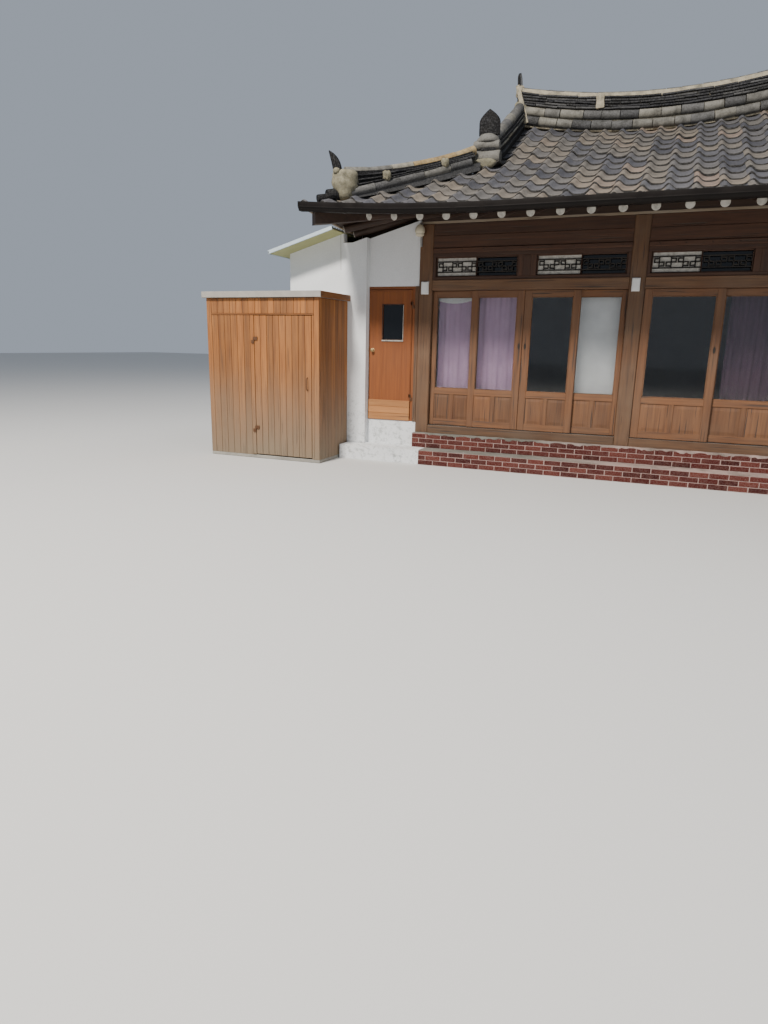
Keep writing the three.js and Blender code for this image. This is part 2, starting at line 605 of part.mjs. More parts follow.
// A door leaf: stiles, rails, a glazed upper part, two raised panels below and rollers on the sill
function doorLeaf(x0, x1, y, leftStile, rightStile) {
  const [y0, y1] = [y - LEAF_THICK / 2, y + LEAF_THICK / 2];
  const middle = (x0 + leftStile + x1 - rightStile) / 2;
  const whole = box(x0, x1, y0, y1, LEAF_BOTTOM, LEAF_TOP);
  const [holeLeft, holeRight] = [x0 + leftStile, x1 - rightStile];
  const upper = box(holeLeft, holeRight, y0 - 1, y1 + 1, RAIL_MIDDLE_TOP, RAIL_TOP_BOTTOM);
  const lower = [[holeLeft, middle - PANEL_POST / 2], [middle + PANEL_POST / 2, holeRight]]
    .map(([a, b]) => box(a, b, y0 - 1, y1 + 1, RAIL_BOTTOM_TOP, RAIL_MIDDLE_BOTTOM));
  const pane = box(holeLeft - 5, holeRight + 5, y - GLASS_THICK / 2, y + GLASS_THICK / 2,
    RAIL_MIDDLE_TOP - 5, RAIL_TOP_BOTTOM + 5);
  const panel = box(holeLeft - 5, holeRight + 5, y - PANEL_THICK / 2, y + PANEL_THICK / 2,
    RAIL_BOTTOM_TOP - 5, RAIL_MIDDLE_BOTTOM + 5);
  const rollers = [x0 + ROLLER_IN, x1 - ROLLER_IN - ROLLER_LENGTH]
    .map((x) => box(x, x + ROLLER_LENGTH, y - 6, y + 6, SILL_TOP + SEAT, LEAF_BOTTOM + 5));
  const frame = cut(solid(whole), solid(upper), ...lower.map(solid));
  return frame.add(join(pane, panel, ...rollers));
}

function buildLeaves() {
  const [left, right] = BAYS.left_bay;
  const middle = (left + right) / 2;
  const half = LEAF_GAP / 2;
  const spans = [
    [left + LEAF_GAP, left + LEAF_GAP + LEFT_LEAF_OUTER, JAMB_STILE, STILE],
    [middle - half - LEFT_LEAF_INNER, middle - half, STILE, STILE],
    [middle + half, middle + half + LEFT_LEAF_INNER, STILE, STILE],
    [right - LEAF_GAP - LEFT_LEAF_OUTER, right - LEAF_GAP, STILE, JAMB_STILE],
  ];
  spans.forEach(([x0, x1, a, b], i) =>
    add(`left_bay_leaf_${i + 1}`, doorLeaf(x0, x1, LEFT_BAY_TRACKS[i], a, b), oldWood));

  const start = BAYS.right_bay[0] + LEAF_GAP;
  const count = RIGHT_BAY_TRACKS.length;
  const room = BAYS.right_bay[1] - BAYS.right_bay[0] - 2 * LEAF_GAP;
  const width = (room + (count - 1) * RIGHT_LEAF_OVERLAP) / count;
  RIGHT_BAY_TRACKS.forEach((y, i) => {
    const x0 = start + i * (width - RIGHT_LEAF_OVERLAP);
    add(`right_bay_leaf_${i + 1}`, doorLeaf(x0, x0 + width, y, STILE, STILE), oldWood);
  });
}

function buildWalls() {
  const [z0, z1] = [BASE_TOP + SEAT, WALL_TOP - SEAT];
  const relief = POST / 2;
  for (const [name, way] of [['left', -1], ['right', 1]]) {
    const span = (a, b, ...rest) => box(Math.min(way * a, way * b), Math.max(way * a, way * b), ...rest);
    const pieces = [
      span(WALL_IN, WALL_OUT, POST_BACK + SEAT, BACK - POST / 2, z0, z1),
      span(BAY - relief, BAY + relief, BACK - POST, BACK, z0, z1),
    ];
    if (name === 'right') {
      pieces.push(span(WALL_IN + 1, BAY + relief, -relief, relief, z0, z1));
      for (const [low, high] of WALL_BEAMS) {
        pieces.push(span(WALL_IN + 1, BAY + relief - 15, POST_BACK + SEAT, BACK - 10, low, high));
      }
    }
    add(`${name}_wall`, join(...pieces), plaster);
  }
  const [y0, y1] = [BACK - POST / 2 - WALL / 2, BACK - POST / 2 + WALL / 2];
  const x1 = BAY - relief - SEAT;
  const back = [box(-x1, x1, y0, y1, z0, z1), box(-relief, relief, BACK - POST, BACK, z0, z1)];
  for (const [low, high] of WALL_BEAMS) {
    back.push(box(-x1, x1, y0 + 1, BACK - 15, low, high));
  }
  add('back_wall', join(...back), plaster);

  const half = PLATE / 2;
  const logTop = boardTop(frontRun.plateRun, LIFT_LENGTH, frontRun) - BOARD_THICK + BOARD_BITE;
  const logDepth = RAFTER_RADIUS * (1 + Math.hypot(1, (PLATE_RISE + SIDE_DROP) / sideRun.plateRun));
  const plateTop = logTop - logDepth - SEAT;
  const ring = (grow, low, high) =>
    solid(box(-BAY - grow, BAY + grow, -DEPTH / 2 - grow, DEPTH / 2 + grow, low, high));
  const plate = cut(ring(half, WALL_TOP, plateTop), ring(-half, WALL_TOP - 10, plateTop + 10));
  add('wall_plate', plate, oldWood);
}

// The cloth hangs from the rail behind the lintel
function buildSoftThings() {
  const [y0, y1] = [POST_BACK + 6, POST_BACK + 46];
  const hung = ([x0, x1], front, back, foot) =>
    solid(box(x0, x1, front, back, foot, LINTEL_BOTTOM - SEAT));
  add('curtain_left_bay', hung(LEFT_CURTAIN, y0, y1, CURTAIN_FOOT), curtain);
  add('blind_left_bay', hung(BLIND, y0 + 10, y0 + 20, BLIND_FOOT), blindCloth);
  add('curtain_right_bay', hung(RIGHT_CURTAIN, y0, y1, CURTAIN_FOOT), curtain);
}

// The lean-to's wall tops follow its roof, then the underside of the main eave
function annexTop(x) {
  return ANNEX_EAVE_Z + ANNEX_SLOPE * (x - ANNEX_LEFT);
}

// Block that reaches past the model, for cutting away all that lies from x0 to x1 in plan
const cutaway = (x0, x1, y0, y1, low = -10, high = 4000) => solid(box(x0, x1, y0, y1, low, high));

function buildAnnex() {
  const right = -BAY - POST / 2 - SEAT - 5;
  const roofEnd = -EAVE_HALF_X - 20;
  const eaveEnd = -EAVE_HALF_X + RAFTER_START;
  const logDepth = BOARD_THICK + 2 * RAFTER_RADIUS + 15;
  const underEave = (x) => boardTop(EAVE_HALF_X + x, LIFT_LENGTH, sideRun) - logDepth;
  const outline = [
    [ANNEX_LEFT, 0], [right, 0], [right, underEave(right) - 40], [eaveEnd, underEave(eaveEnd) - 10],
    [roofEnd, underEave(eaveEnd) - 10], [roofEnd, annexTop(roofEnd)], [ANNEX_LEFT, annexTop(ANNEX_LEFT)],
  ];
  const besideBase = -BASE_HALF_X - SEAT;
  const [y0, y1] = [ANNEX_FRONT, ANNEX_FRONT + ANNEX_WALL];
  const pier = cut(solid(prismY(outline, y0, y1)),
    cutaway(ANNEX_PIER_RIGHT, 0, y0 - 10, y1 + 10, STEP_TOP), cutaway(besideBase, 0, y0 - 10, y1 + 10));
  const doorFront = ANNEX_RECESS - 1;
  const doorWall = cut(solid(prismY(outline, doorFront, ANNEX_RECESS + ANNEX_WALL)),
    cutaway(2 * ANNEX_LEFT, DOOR_LEFT - 100, doorFront - 10, 0), cutaway(besideBase, 0, doorFront - 10, 0),
    cutaway(DOOR_LEFT, DOOR_RIGHT, doorFront - 10, 0, DOOR_BOTTOM, DOOR_TOP));
  add('annex_front_wall', pier.add(doorWall), plaster);

  const backWall = solid(prismY(outline, BACK - WALL, BACK));
  add('annex_back_wall', cut(backWall, cutaway(besideBase, 0, 0, BACK + 10)), plaster);

  const inner = ANNEX_LEFT + ANNEX_WALL;
  const side = [[ANNEX_LEFT, 0], [inner, 0], [inner, annexTop(inner)], [ANNEX_LEFT, annexTop(ANNEX_LEFT)]];
  add('annex_left_wall', solid(prismY(side, y1 + SEAT, BACK - WALL - SEAT)), plaster);
  const base = box(inner + SEAT, besideBase, ANNEX_RECESS + ANNEX_WALL + SEAT, BACK - WALL - SEAT,
    0, ANNEX_BASE_TOP);
  add('annex_base', solid(base), concrete);

  const low = annexTop(ANNEX_ROOF_LEFT) + SEAT;
  const high = annexTop(roofEnd) + SEAT;
  const sheet = [[ANNEX_ROOF_LEFT, low], [roofEnd, high], [roofEnd, high + ANNEX_ROOF_THICK],
    [ANNEX_ROOF_LEFT, low + ANNEX_ROOF_THICK]];
  add('annex_roof', solid(prismY(sheet, ANNEX_ROOF_FRONT, BACK + ANNEX_ROOF_PAST)), concrete);
  buildAnnexDoor();
}

// A hinge pin standing on z, and the strap beside it from x0 to x1, from just before the pin back to y
const hingePin = ({ x, y }, z) => log([x, y, z], [x, y, z + PIN_LENGTH], PIN_RADIUS, 12);
const hingeStrap = ({ y }, x0, x1, back, z) => box(x0, x1, y - 2, back, z, z + PIN_LENGTH);

// Frame and leaf of the small door; it opens outwards on hinge pins at its right edge
function buildAnnexDoor() {
  const [left, right] = [DOOR_LEFT + SEAT, DOOR_RIGHT - SEAT];
  const [bottom, top] = [DOOR_BOTTOM + SEAT, DOOR_TOP - SEAT];
  const [y0, y1] = [ANNEX_RECESS, ANNEX_RECESS + 80];
  const pin = { x: right - DOOR_FRAME + 4, y: y0 - 10 };
  const heights = [bottom + 300, top - 300];
  const opening = box(left + DOOR_FRAME, right - DOOR_FRAME, y0 - 10, y1 + 10,
    bottom + DOOR_FRAME, top - DOOR_FRAME);
  let frame = cut(solid(box(left, right, y0, y1, bottom, top)), solid(opening));
  for (const z of heights) {
    frame = frame.add(join(hingePin(pin, z), hingeStrap(pin, pin.x, pin.x + 24, y0 + 6, z)));
  }
  add('annex_door_frame', frame, orangeWood);

  const inset = DOOR_FRAME + DOOR_CLEAR;
  const [x0, x1] = [left + inset, right - inset];
  const [z0, z1] = [bottom + inset, top - inset];
  const [windowLeft, windowRight, low, high] = DOOR_WINDOW;
  const window = (front, back) => solid(box(windowLeft, windowRight, front, back, low, high));
  const glazed = cut(solid(box(x0, x1, y0, y0 + DOOR_THICK, z0, z1)),
    window(y0 - 10, y0 + 10), window(y0 + 18, y0 + 60));
  const knobX = x0 + 62;
  const knob = log([knobX, y0 + 1, DOOR_KNOB_Z], [knobX, y0 - 55, DOOR_KNOB_Z], 24, 12);
  const kickSpan = [x0 + 4, x1 - 4, y0 - KICK_THICK];
  const kickBoards = join(box(...kickSpan, y0 - DOOR_CLEAR, DOOR_BOTTOM + DOOR_CLEAR, KICK_TOP),
    box(...kickSpan, y0 + 1, z0, KICK_TOP));
  let door = glazed.add(solid(knob)).add(kickBoards);
  for (const z of heights) {
    const above = z + PIN_LENGTH + SEAT;
    door = door.add(join(hingePin(pin, above), hingeStrap(pin, pin.x - 30, pin.x, pin.y + 2, above),
      hingeStrap(pin, pin.x - 30, x1 - 1, y0 + 6, above)));
  }
  add('annex_door', door, orangeWood);
}

function buildShed() {
  const back = ANNEX_FRONT - SEAT;
  const [doorLeft, doorRight] = [SHED_DOOR_LEFT - DOOR_CLEAR, SHED_DOOR_RIGHT + DOOR_CLEAR];
  const post = (x0, x1) => box(x0, x1, SHED_FRONT, SHED_FRONT + SHED_POST, 0, SHED_TOP);
  const front = join(
    box(SHED_LEFT, SHED_RIGHT, SHED_FRONT, SHED_FRONT + SHED_BOARD, 0, SHED_TOP),
    post(SHED_RIGHT - SHED_POST, SHED_RIGHT), post(SHED_LEFT, SHED_LEFT + SHED_POST),
    post(doorLeft - SHED_JAMB, doorLeft), post(doorRight, doorRight + SHED_JAMB));
  const doorway = box(doorLeft, doorRight, SHED_FRONT - 10, SHED_FRONT + 200,
    SHED_DOOR_BOTTOM - DOOR_CLEAR, SHED_DOOR_TOP + DOOR_CLEAR);
  const pin = { x: doorLeft + 1, y: SHED_FRONT - 10 };
  const plate = (x0, x1, z) => hingeStrap(pin, x0, x1, SHED_FRONT + 5, z);
  let frame = cut(front, solid(doorway));
  for (const z of SHED_HINGES) frame = frame.add(join(hingePin(pin, z), plate(pin.x - 40, pin.x, z)));
  add('shed_front', frame, orangeWood);

  const [handleOut, handleIn, handleLow, handleHigh] = SHED_HANDLE;
  let door = join(
    box(SHED_DOOR_LEFT, SHED_DOOR_RIGHT, SHED_FRONT, SHED_FRONT + SHED_BOARD,
      SHED_DOOR_BOTTOM, SHED_DOOR_TOP),
    box(SHED_DOOR_RIGHT - handleIn, SHED_DOOR_RIGHT - handleIn + 20, SHED_FRONT - handleOut, SHED_FRONT + 1,
      handleLow, handleHigh));
  for (const z of SHED_HINGES) {
    const above = z + PIN_LENGTH + SEAT;
    door = door.add(join(hingePin(pin, above), plate(pin.x, pin.x + 60, above)));
  }
  add('shed_door', door, orangeWood);

  // The left side turns the corner and closes the back as far as the lean-to's wall.
  const sideStart = SHED_FRONT + SHED_POST + SEAT;
  const side = (x) => box(x, x + SHED_BOARD, sideStart, back, 0, SHED_TOP);
  const backBoards = box(SHED_LEFT, ANNEX_LEFT + SHED_BACK_LAP, back - SHED_BOARD, back, 0, SHED_TOP);
  add('shed_right_side', solid(side(SHED_RIGHT - SHED_BOARD)), orangeWood);
  add('shed_left_side', join(side(SHED_LEFT), backBoards), orangeWood);
  const roof = box(SHED_LEFT - SHED_OVERHANG, SHED_RIGHT + SHED_OVERHANG, SHED_FRONT - SHED_OVERHANG, back,
    SHED_TOP + SEAT, SHED_TOP + SHED_ROOF_THICK);
  add('shed_roof', solid(roof), concrete);
}

buildBase();
buildFront();
buildLeaves();
buildWalls();
buildSoftThings();
buildRoof();
buildRidges();
buildRafters();
buildGutter();
buildAnnex();
buildShed();

// The origin moves to the centre of the whole model's footprint, on the ground
const bounds = new THREE.Box3().setFromObject(house);
const centre = bounds.getCenter(new THREE.Vector3());
house.position.set(-centre.x, -centre.y, 0);
house.updateMatrixWorld(true);

export default house;
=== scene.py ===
# %% [markdown]
# # A two-bay hanok house
# The real house is a timber frame on a brick base, under a heavy roof of wavy clay tiles, with a plastered
# lean-to and a boarded shed at its left. The frame that this lesson loads holds each part at its real size.
# Here every part gets its real surface: boards, bricks, tiles, cloth and glass, all worked out as arrays.

# %% Load the measured frame
import math

import bmesh
import bpy
import numpy as np
from mathutils import Matrix, Vector


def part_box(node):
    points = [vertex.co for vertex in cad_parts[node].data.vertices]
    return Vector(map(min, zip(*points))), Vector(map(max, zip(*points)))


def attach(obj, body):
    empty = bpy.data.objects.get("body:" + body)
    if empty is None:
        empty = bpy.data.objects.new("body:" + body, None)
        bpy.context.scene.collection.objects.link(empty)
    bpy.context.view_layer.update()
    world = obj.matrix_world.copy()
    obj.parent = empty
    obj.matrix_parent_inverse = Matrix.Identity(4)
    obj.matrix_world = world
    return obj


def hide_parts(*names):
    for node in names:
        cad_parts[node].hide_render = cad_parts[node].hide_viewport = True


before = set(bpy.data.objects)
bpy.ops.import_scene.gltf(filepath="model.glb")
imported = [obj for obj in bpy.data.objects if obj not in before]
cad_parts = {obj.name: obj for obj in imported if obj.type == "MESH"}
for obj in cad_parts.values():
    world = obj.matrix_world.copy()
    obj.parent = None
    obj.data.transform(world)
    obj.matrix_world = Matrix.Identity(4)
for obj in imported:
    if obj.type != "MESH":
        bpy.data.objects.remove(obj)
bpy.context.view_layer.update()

# %% [markdown]
# A builder measures a house from its own middle, so all numbers below count from the middle of the front
# posts' line, with the front facing -Y. HOME carries that point into the frame's coordinates.

# %% The house's own coordinates
FRONT = -2.430          # outer face of the front posts
post_low, post_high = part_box("post_front_middle")
HOME = np.array([(post_low.x + post_high.x) / 2, post_low.y - FRONT, 0.0])
POST = 0.190
POST_BACK = FRONT + POST
rng = np.random.default_rng(11)


def room(node):
    """Lowest and highest corner of a frame node, in the house's own coordinates."""
    low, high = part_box(node)
    return np.array(low) - HOME, np.array(high) - HOME


def xyz(x, y, z):
    """Points from their coordinates, each an array or one number for all."""
    return np.stack(np.broadcast_arrays(x, y, z), -1)


print("the house's middle lies at", HOME.round(4))

# %% [markdown]
# A mesh is points and faces. Form collects them as whole arrays, and gives every point two facts that the
# finishes read later: a tone, which differs from board to board and tile to tile, and a grain vector, whose
# first number runs along the wood.

# %% Form, a growing mesh


class Form:
    """Points, faces, and at each point a tone from 0 to 1 and a grain vector."""

    def __init__(self):
        self.points, self.tones, self.grains, self.faces, self.kinds = [], [], [], [], []
        self.count = 0

    def add(self, points, faces, tone=0.5, kind=0, grain=0, drift=True):
        """Adds copies of one shape. points: (copies, points, 3). faces: index lists within one copy.
        tone: one value, or one a copy. kind: material number. grain: axis number, or vectors like points."""
        points = np.asarray(points, float)
        points = points.reshape(-1, *points.shape[-2:])
        copies, each = points.shape[:2]
        vectors = np.roll(points, -grain, axis=2) if np.ndim(grain) == 0 else np.asarray(grain, float)
        if drift:
            vectors = vectors + np.random.default_rng(self.count).uniform(0, 9, (copies, 1, 3))
        self.points.append(points.reshape(-1, 3))
        self.grains.append(np.broadcast_to(vectors, points.shape).reshape(-1, 3))
        self.tones.append(np.broadcast_to(np.reshape(tone, (-1, 1)), (copies, each)).ravel())
        kinds = np.broadcast_to(kind, len(faces))
        starts = self.count + each * np.arange(copies)
        sizes = np.array([len(face) for face in faces])
        for size in np.unique(sizes):
            chosen = np.flatnonzero(sizes == size)
            rings = np.array([faces[i] for i in chosen])
            self.faces.append((rings[None] + starts[:, None, None]).reshape(-1, size))
            self.kinds.append(np.tile(kinds[chosen], copies))
        self.count += copies * each
        return self


def placed(name, data):
    """A new object in the scene."""
    made = bpy.data.objects.new(name, data)
    bpy.context.scene.collection.objects.link(made)
    return made


def make(name, form, *materials, body="house", slot=None, replaces=(), recalc=True, sharp=35, cuts=()):
    """Turns a Form into a piece that rides on a body. cuts are planes (point, normal) whose far side goes."""
    mesh = bpy.data.meshes.new(name)
    totals = np.concatenate([np.full(len(f), f.shape[1]) for f in form.faces])
    corners = np.concatenate([f.ravel() for f in form.faces])
    mesh.vertices.add(form.count)
    mesh.vertices.foreach_set("co", (np.concatenate(form.points) + HOME).astype(np.float32).ravel())
    mesh.loops.add(len(corners))
    mesh.loops.foreach_set("vertex_index", corners.astype(np.int32))
    mesh.polygons.add(len(totals))
    mesh.polygons.foreach_set("loop_start", (np.cumsum(totals) - totals).astype(np.int32))
    mesh.polygons.foreach_set("material_index", np.concatenate(form.kinds).astype(np.int32))
    mesh.update(calc_edges=True)
    tone = mesh.attributes.new("tone", "FLOAT", "POINT")
    tone.data.foreach_set("value", np.concatenate(form.tones).astype(np.float32))
    grain = mesh.attributes.new("grain", "FLOAT_VECTOR", "POINT")
    grain.data.foreach_set("vector", np.concatenate(form.grains).astype(np.float32).ravel())
    if recalc or cuts:
        work = bmesh.new()
        work.from_mesh(mesh)
        for point, normal in cuts:
            everything = [*work.verts, *work.edges, *work.faces]
            bmesh.ops.bisect_plane(work, geom=everything, plane_co=np.array(point) + HOME, plane_no=normal,
                                   clear_outer=True)
        if recalc:
            bmesh.ops.recalc_face_normals(work, faces=work.faces)
        work.to_mesh(mesh)
        work.free()
    mesh.shade_smooth()
    mesh.set_sharp_from_angle(angle=math.radians(sharp))
    for material in materials:
        mesh.materials.append(material)
    piece = placed(name, mesh)
    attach(piece, body)
    if replaces:
        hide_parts(*replaces)
    print(name, len(mesh.polygons), "faces")
    return piece


def finish_node(node, finish):
    """Gives a frame node that stays as it is its material."""
    slots = bpy.data.objects[node].data.materials
    slots.clear()
    slots.append(finish)


# %% [markdown]
# Sawn timber, bricks and plates are blocks with small chamfers, because no real edge is a knife edge. One
# block's topology is worked out once, and blocks() then places any number of them at once.

# %% Chamfered blocks
SIGNS = np.stack(np.meshgrid([-1, 1], [-1, 1], [-1, 1], indexing="ij"), -1).reshape(8, 3)


def block_points(low, high, bevel):
    """Point 3 * corner + axis lies on the side across that axis, inset by bevel along the other two."""
    low, high = np.atleast_2d(low), np.atleast_2d(high)
    half, middle = (high - low) / 2, (high + low) / 2
    inset = np.minimum(bevel, 0.45 * half.min(1))[:, None, None] * (1 - np.eye(3))
    corners = SIGNS[None, :, None] * (half[:, None, None] - inset[:, None])
    return corners.reshape(len(half), 24, 3) + middle[:, None]


def block_faces():
    """Six sides, twelve chamfers and eight corner triangles, each turned to look away from the middle."""
    number = {tuple(sign): i for i, sign in enumerate(SIGNS)}
    faces = []
    for axis in range(3):
        a, b = (axis + 1) % 3, (axis + 2) % 3
        for sa in (-1, 1):
            ring = []
            for sb, sc in ((-1, -1), (1, -1), (1, 1), (-1, 1)):
                key = [0, 0, 0]
                key[axis], key[a], key[b] = sa, sb, sc
                ring.append(3 * number[tuple(key)] + axis)
            faces.append(ring)
            for sb in (-1, 1):
                near, far = [0, 0, 0], [0, 0, 0]
                near[axis], far[axis] = -1, 1
                near[a] = far[a] = sa
                near[b] = far[b] = sb
                near, far = 3 * number[tuple(near)], 3 * number[tuple(far)]
                faces.append([near + a, far + a, far + b, near + b])
    faces += [[3 * i, 3 * i + 1, 3 * i + 2] for i in range(8)]
    points = block_points([-1, -1, -1], [1, 1, 1], 0.2)[0]

    def looks_out(face):
        across = np.cross(points[face[1]] - points[face[0]], points[face[2]] - points[face[1]])
        return across @ points[face].mean(0) > 0

    return [face if looks_out(face) else face[::-1] for face in faces]


BLOCK = block_faces()


def blocks(form, low, high, bevel=0.004, tone=None, grain=0):
    """Adds chamfered blocks between corners low and high, each with a tone of its own unless one is given."""
    points = block_points(low, high, bevel)
    tone = rng.random(len(points)) if tone is None else tone
    return form.add(points, BLOCK, tone, grain=grain)


def border(form, x0, x1, z0, z1, y, size, deep):
    """Four bars just inside the edge of an upright opening whose front lies at y."""
    blocks(form, [[x0, y, z0], [x0, y, z1 - size], [x0, y, z0], [x1 - size, y, z0]],
           [[x1, y + deep, z0 + size], [x1, y + deep, z1], [x0 + size, y + deep, z1], [x1, y + deep, z1]],
           0.003)


print("faces in one block:", len(BLOCK))

# %% [markdown]
# Logs, half-round tiles, gutters and rods are a section carried along a path. At every step the section
# stands square to the path, so its two numbers are an offset sideways and an offset upwards.

# %% Sections carried along paths


def quads(rows, columns, wrap=False):
    """Faces of a grid whose point (i, j) is number i * columns + j. wrap closes each row on itself."""
    i = np.arange(rows - 1)[:, None]
    j = np.arange(columns if wrap else columns - 1)[None]
    k = (j + 1) % columns
    ring = np.stack(np.broadcast_arrays(i * columns + j, i * columns + k, (i + 1) * columns + k,
                                        (i + 1) * columns + j), -1)
    return ring.reshape(-1, 4).tolist()


def skin(steps, around):
    """Side faces of a closed form made of rings of points, then its two end faces."""
    return quads(steps, around, wrap=True) + [list(range(around))[::-1],
                                              list(range((steps - 1) * around, steps * around))]


def closed(form, rings, tone=0.5, grain=0, drift=True):
    """Adds one closed form made of rings of points, of shape (steps, around, 3)."""
    grain = grain if np.ndim(grain) == 0 else grain.reshape(1, -1, 3)
    return form.add(rings.reshape(1, -1, 3), skin(*rings.shape[:2]), tone, 0, grain, drift)


def carried(path, section, scale=1.0, up=(0.0, 0.0, 1.0)):
    """point = path + scale * (sideways * side + upwards * top), for paths of shape (count, steps, 3)."""
    path = np.asarray(path, float).reshape(-1, *np.shape(path)[-2:])
    along = np.gradient(path, axis=1)
    along /= np.linalg.norm(along, axis=2, keepdims=True)
    side = np.cross(along, np.asarray(up, float))
    side[np.linalg.norm(side, axis=2) < 1e-6] = (1, 0, 0)
    side /= np.linalg.norm(side, axis=2, keepdims=True)
    top = np.cross(side, along)
    section = np.asarray(section, float)
    scale = np.broadcast_to(scale, path.shape[:2])[:, :, None, None]
    offset = section[:, 0, None] * side[:, :, None] + section[:, 1, None] * top[:, :, None]
    return path[:, :, None] + scale * offset


def carry(form, path, section, scale=1.0, tone=None, up=(0.0, 0.0, 1.0), start_kind=None):
    """Adds the closed form of a section carried along paths. Its grain runs along the path."""
    rings = carried(path, section, scale, up)
    count, steps, around = rings.shape[:3]
    path = np.asarray(path, float).reshape(count, steps, 3)
    run = np.concatenate([np.zeros((count, 1)), np.linalg.norm(np.diff(path, axis=1), axis=2).cumsum(1)], 1)
    grain = xyz(run[:, :, None], *np.transpose(section))
    faces = skin(steps, around)
    kinds = np.zeros(len(faces), int)
    if start_kind is not None:
        kinds[:around] = start_kind
        kinds[-2] = start_kind
    tone = rng.random(count) if tone is None else tone
    return form.add(rings.reshape(count, -1, 3), faces, tone, kinds, grain.reshape(count, -1, 3))


def circle(radius, sides=14):
    """Points round a circle."""
    angle = np.radians(np.linspace(0, 360, sides, endpoint=False))
    return radius * np.stack([np.cos(angle), np.sin(angle)], 1)


def ends_in(start, end, inset):
    """Paths of four points from starts to ends, with a point just inside each end for a softened edge."""
    start, end = np.atleast_2d(start), np.atleast_2d(end)
    along = (end - start) / np.linalg.norm(end - start, axis=1, keepdims=True)
    return np.stack([start, start + inset * along, end - inset * along, end], 1)


def rods(form, start, end, radius, sides=14, tone=None, start_kind=None, inset=0.004):
    """Round rods or logs between points, with softened ends."""
    scale = np.array([1 - 0.5 * inset / radius, 1.0, 1.0, 1 - 0.5 * inset / radius])
    path = ends_in(start, end, inset)
    return carry(form, path, circle(radius, sides), scale, tone, start_kind=start_kind)


# %% [markdown]
# Every finish is a small graph of nodes. put() makes one node with its inputs, and a few short helpers name
# the steps that all finishes share, so that a finish below reads like a recipe.

# %% Node helpers


def feed(tree, node, inputs):
    """Gives each input of a node its value or its link."""
    for key, value in inputs.items():
        if isinstance(value, bpy.types.NodeSocket):
            tree.links.new(value, node.inputs[key])
        else:
            node.inputs[key].default_value = value
    return node


def put(tree, kind, inputs=None, **settings):
    """One shader node, with its settings and inputs."""
    node = tree.nodes.new(kind)
    for key, value in settings.items():
        setattr(node, key, value)
    return feed(tree, node, inputs or {})


def blended(tree, share, a, b, way="MIX"):
    """Colour a towards b by share."""
    return put(tree, "ShaderNodeMix", {0: share, 6: a, 7: b}, data_type="RGBA", blend_type=way).outputs[2]


def ranged(tree, value, low, high, to_low=0.0, to_high=1.0):
    """A value's stretch from low to high, moved to run from to_low to to_high."""
    inputs = {"Value": value, "From Min": low, "From Max": high, "To Min": to_low, "To Max": to_high}
    return put(tree, "ShaderNodeMapRange", inputs).outputs["Result"]


def sums(tree, operation, a, b):
    """One sum of two values."""
    return put(tree, "ShaderNodeMath", {0: a, 1: b}, operation=operation).outputs[0]


def noise(tree, vector, scale, detail=4.0, stretch=(1, 1, 1), rough=0.55):
    """Cloudy noise, which may be stretched along the axes of its vector."""
    moved = put(tree, "ShaderNodeMapping", {"Vector": vector, "Scale": stretch}).outputs[0]
    inputs = {"Vector": moved, "Scale": scale, "Detail": detail, "Roughness": rough}
    return put(tree, "ShaderNodeTexNoise", inputs).outputs["Fac"]


def ramp(tree, value, stops):
    """Colours along a value: stops are (place, colour)."""
    node = put(tree, "ShaderNodeValToRGB", {0: value})
    elements = node.color_ramp.elements
    elements[0].position, elements[0].color = stops[0][0], (*stops[0][1], 1)
    elements[1].position, elements[1].color = stops[-1][0], (*stops[-1][1], 1)
    for place, colour in stops[1:-1]:
        elements.new(place).color = (*colour, 1)
    return node.outputs["Color"]


def read(tree, name):
    """A fact kept at the mesh's points: its value, or its vector."""
    node = put(tree, "ShaderNodeAttribute", attribute_name=name)
    return node.outputs["Vector" if name == "grain" else "Fac"]


def place(tree):
    """The point's place on the object, in metres."""
    return put(tree, "ShaderNodeTexCoord").outputs["Object"]


def shared(name, inputs, outputs):
    """A node group with named inputs {name: start value} and outputs {name: kind}."""
    tree = bpy.data.node_groups.new(name, "ShaderNodeTree")
    for key, value in inputs.items():
        kind = "NodeSocketFloat" if np.ndim(value) == 0 else "NodeSocketColor"
        socket = tree.interface.new_socket(key, in_out="INPUT", socket_type=kind)
        socket.default_value = value if np.ndim(value) == 0 else (*value, 1)
    for key, kind in outputs.items():
        tree.interface.new_socket(key, in_out="OUTPUT", socket_type=kind)
    return tree, put(tree, "NodeGroupInput").outputs


def finish_group(tree, results):
    """Links a group's results to its outputs."""
    end = put(tree, "NodeGroupOutput")
    for key, socket in results.items():
        tree.links.new(socket, end.inputs[key])
    return tree


def use(tree, group, inputs):
    """Places a group in a material, with its own values, and gives its outputs."""
    node = put(tree, "ShaderNodeGroup", node_tree=group)
    opaque = {key: (*value, 1) if isinstance(value, tuple) else value for key, value in inputs.items()}
    return feed(tree, node, opaque).outputs


def material(name, paint):
    """A material whose Principled shader is set by paint(tree), which gives {input: value or socket}."""
    made = bpy.data.materials.new(name)
    made.use_nodes = True
    tree = made.node_tree
    feed(tree, tree.nodes["Principled BSDF"], paint(tree))
    return made


def bump(tree, height, strength=0.3, distance=0.004):
    """A normal that follows a height."""
    return put(tree, "ShaderNodeBump", {"Height": height, "Strength": strength,
                                        "Distance": distance}).outputs[0]


# %% [markdown]
# Wood is the house's main finish. Old timber has broad bands and fine streaks along its grain, dark checks
# where it has split, boards that differ from each other, and a grey bloom where rain and sun reach it. The
# group reads the grain vector, so the streaks follow each piece whatever way it lies.

# %% Timber finish
FINISH_OUTPUTS = {"Colour": "NodeSocketColor", "Height": "NodeSocketFloat", "Dull": "NodeSocketFloat"}


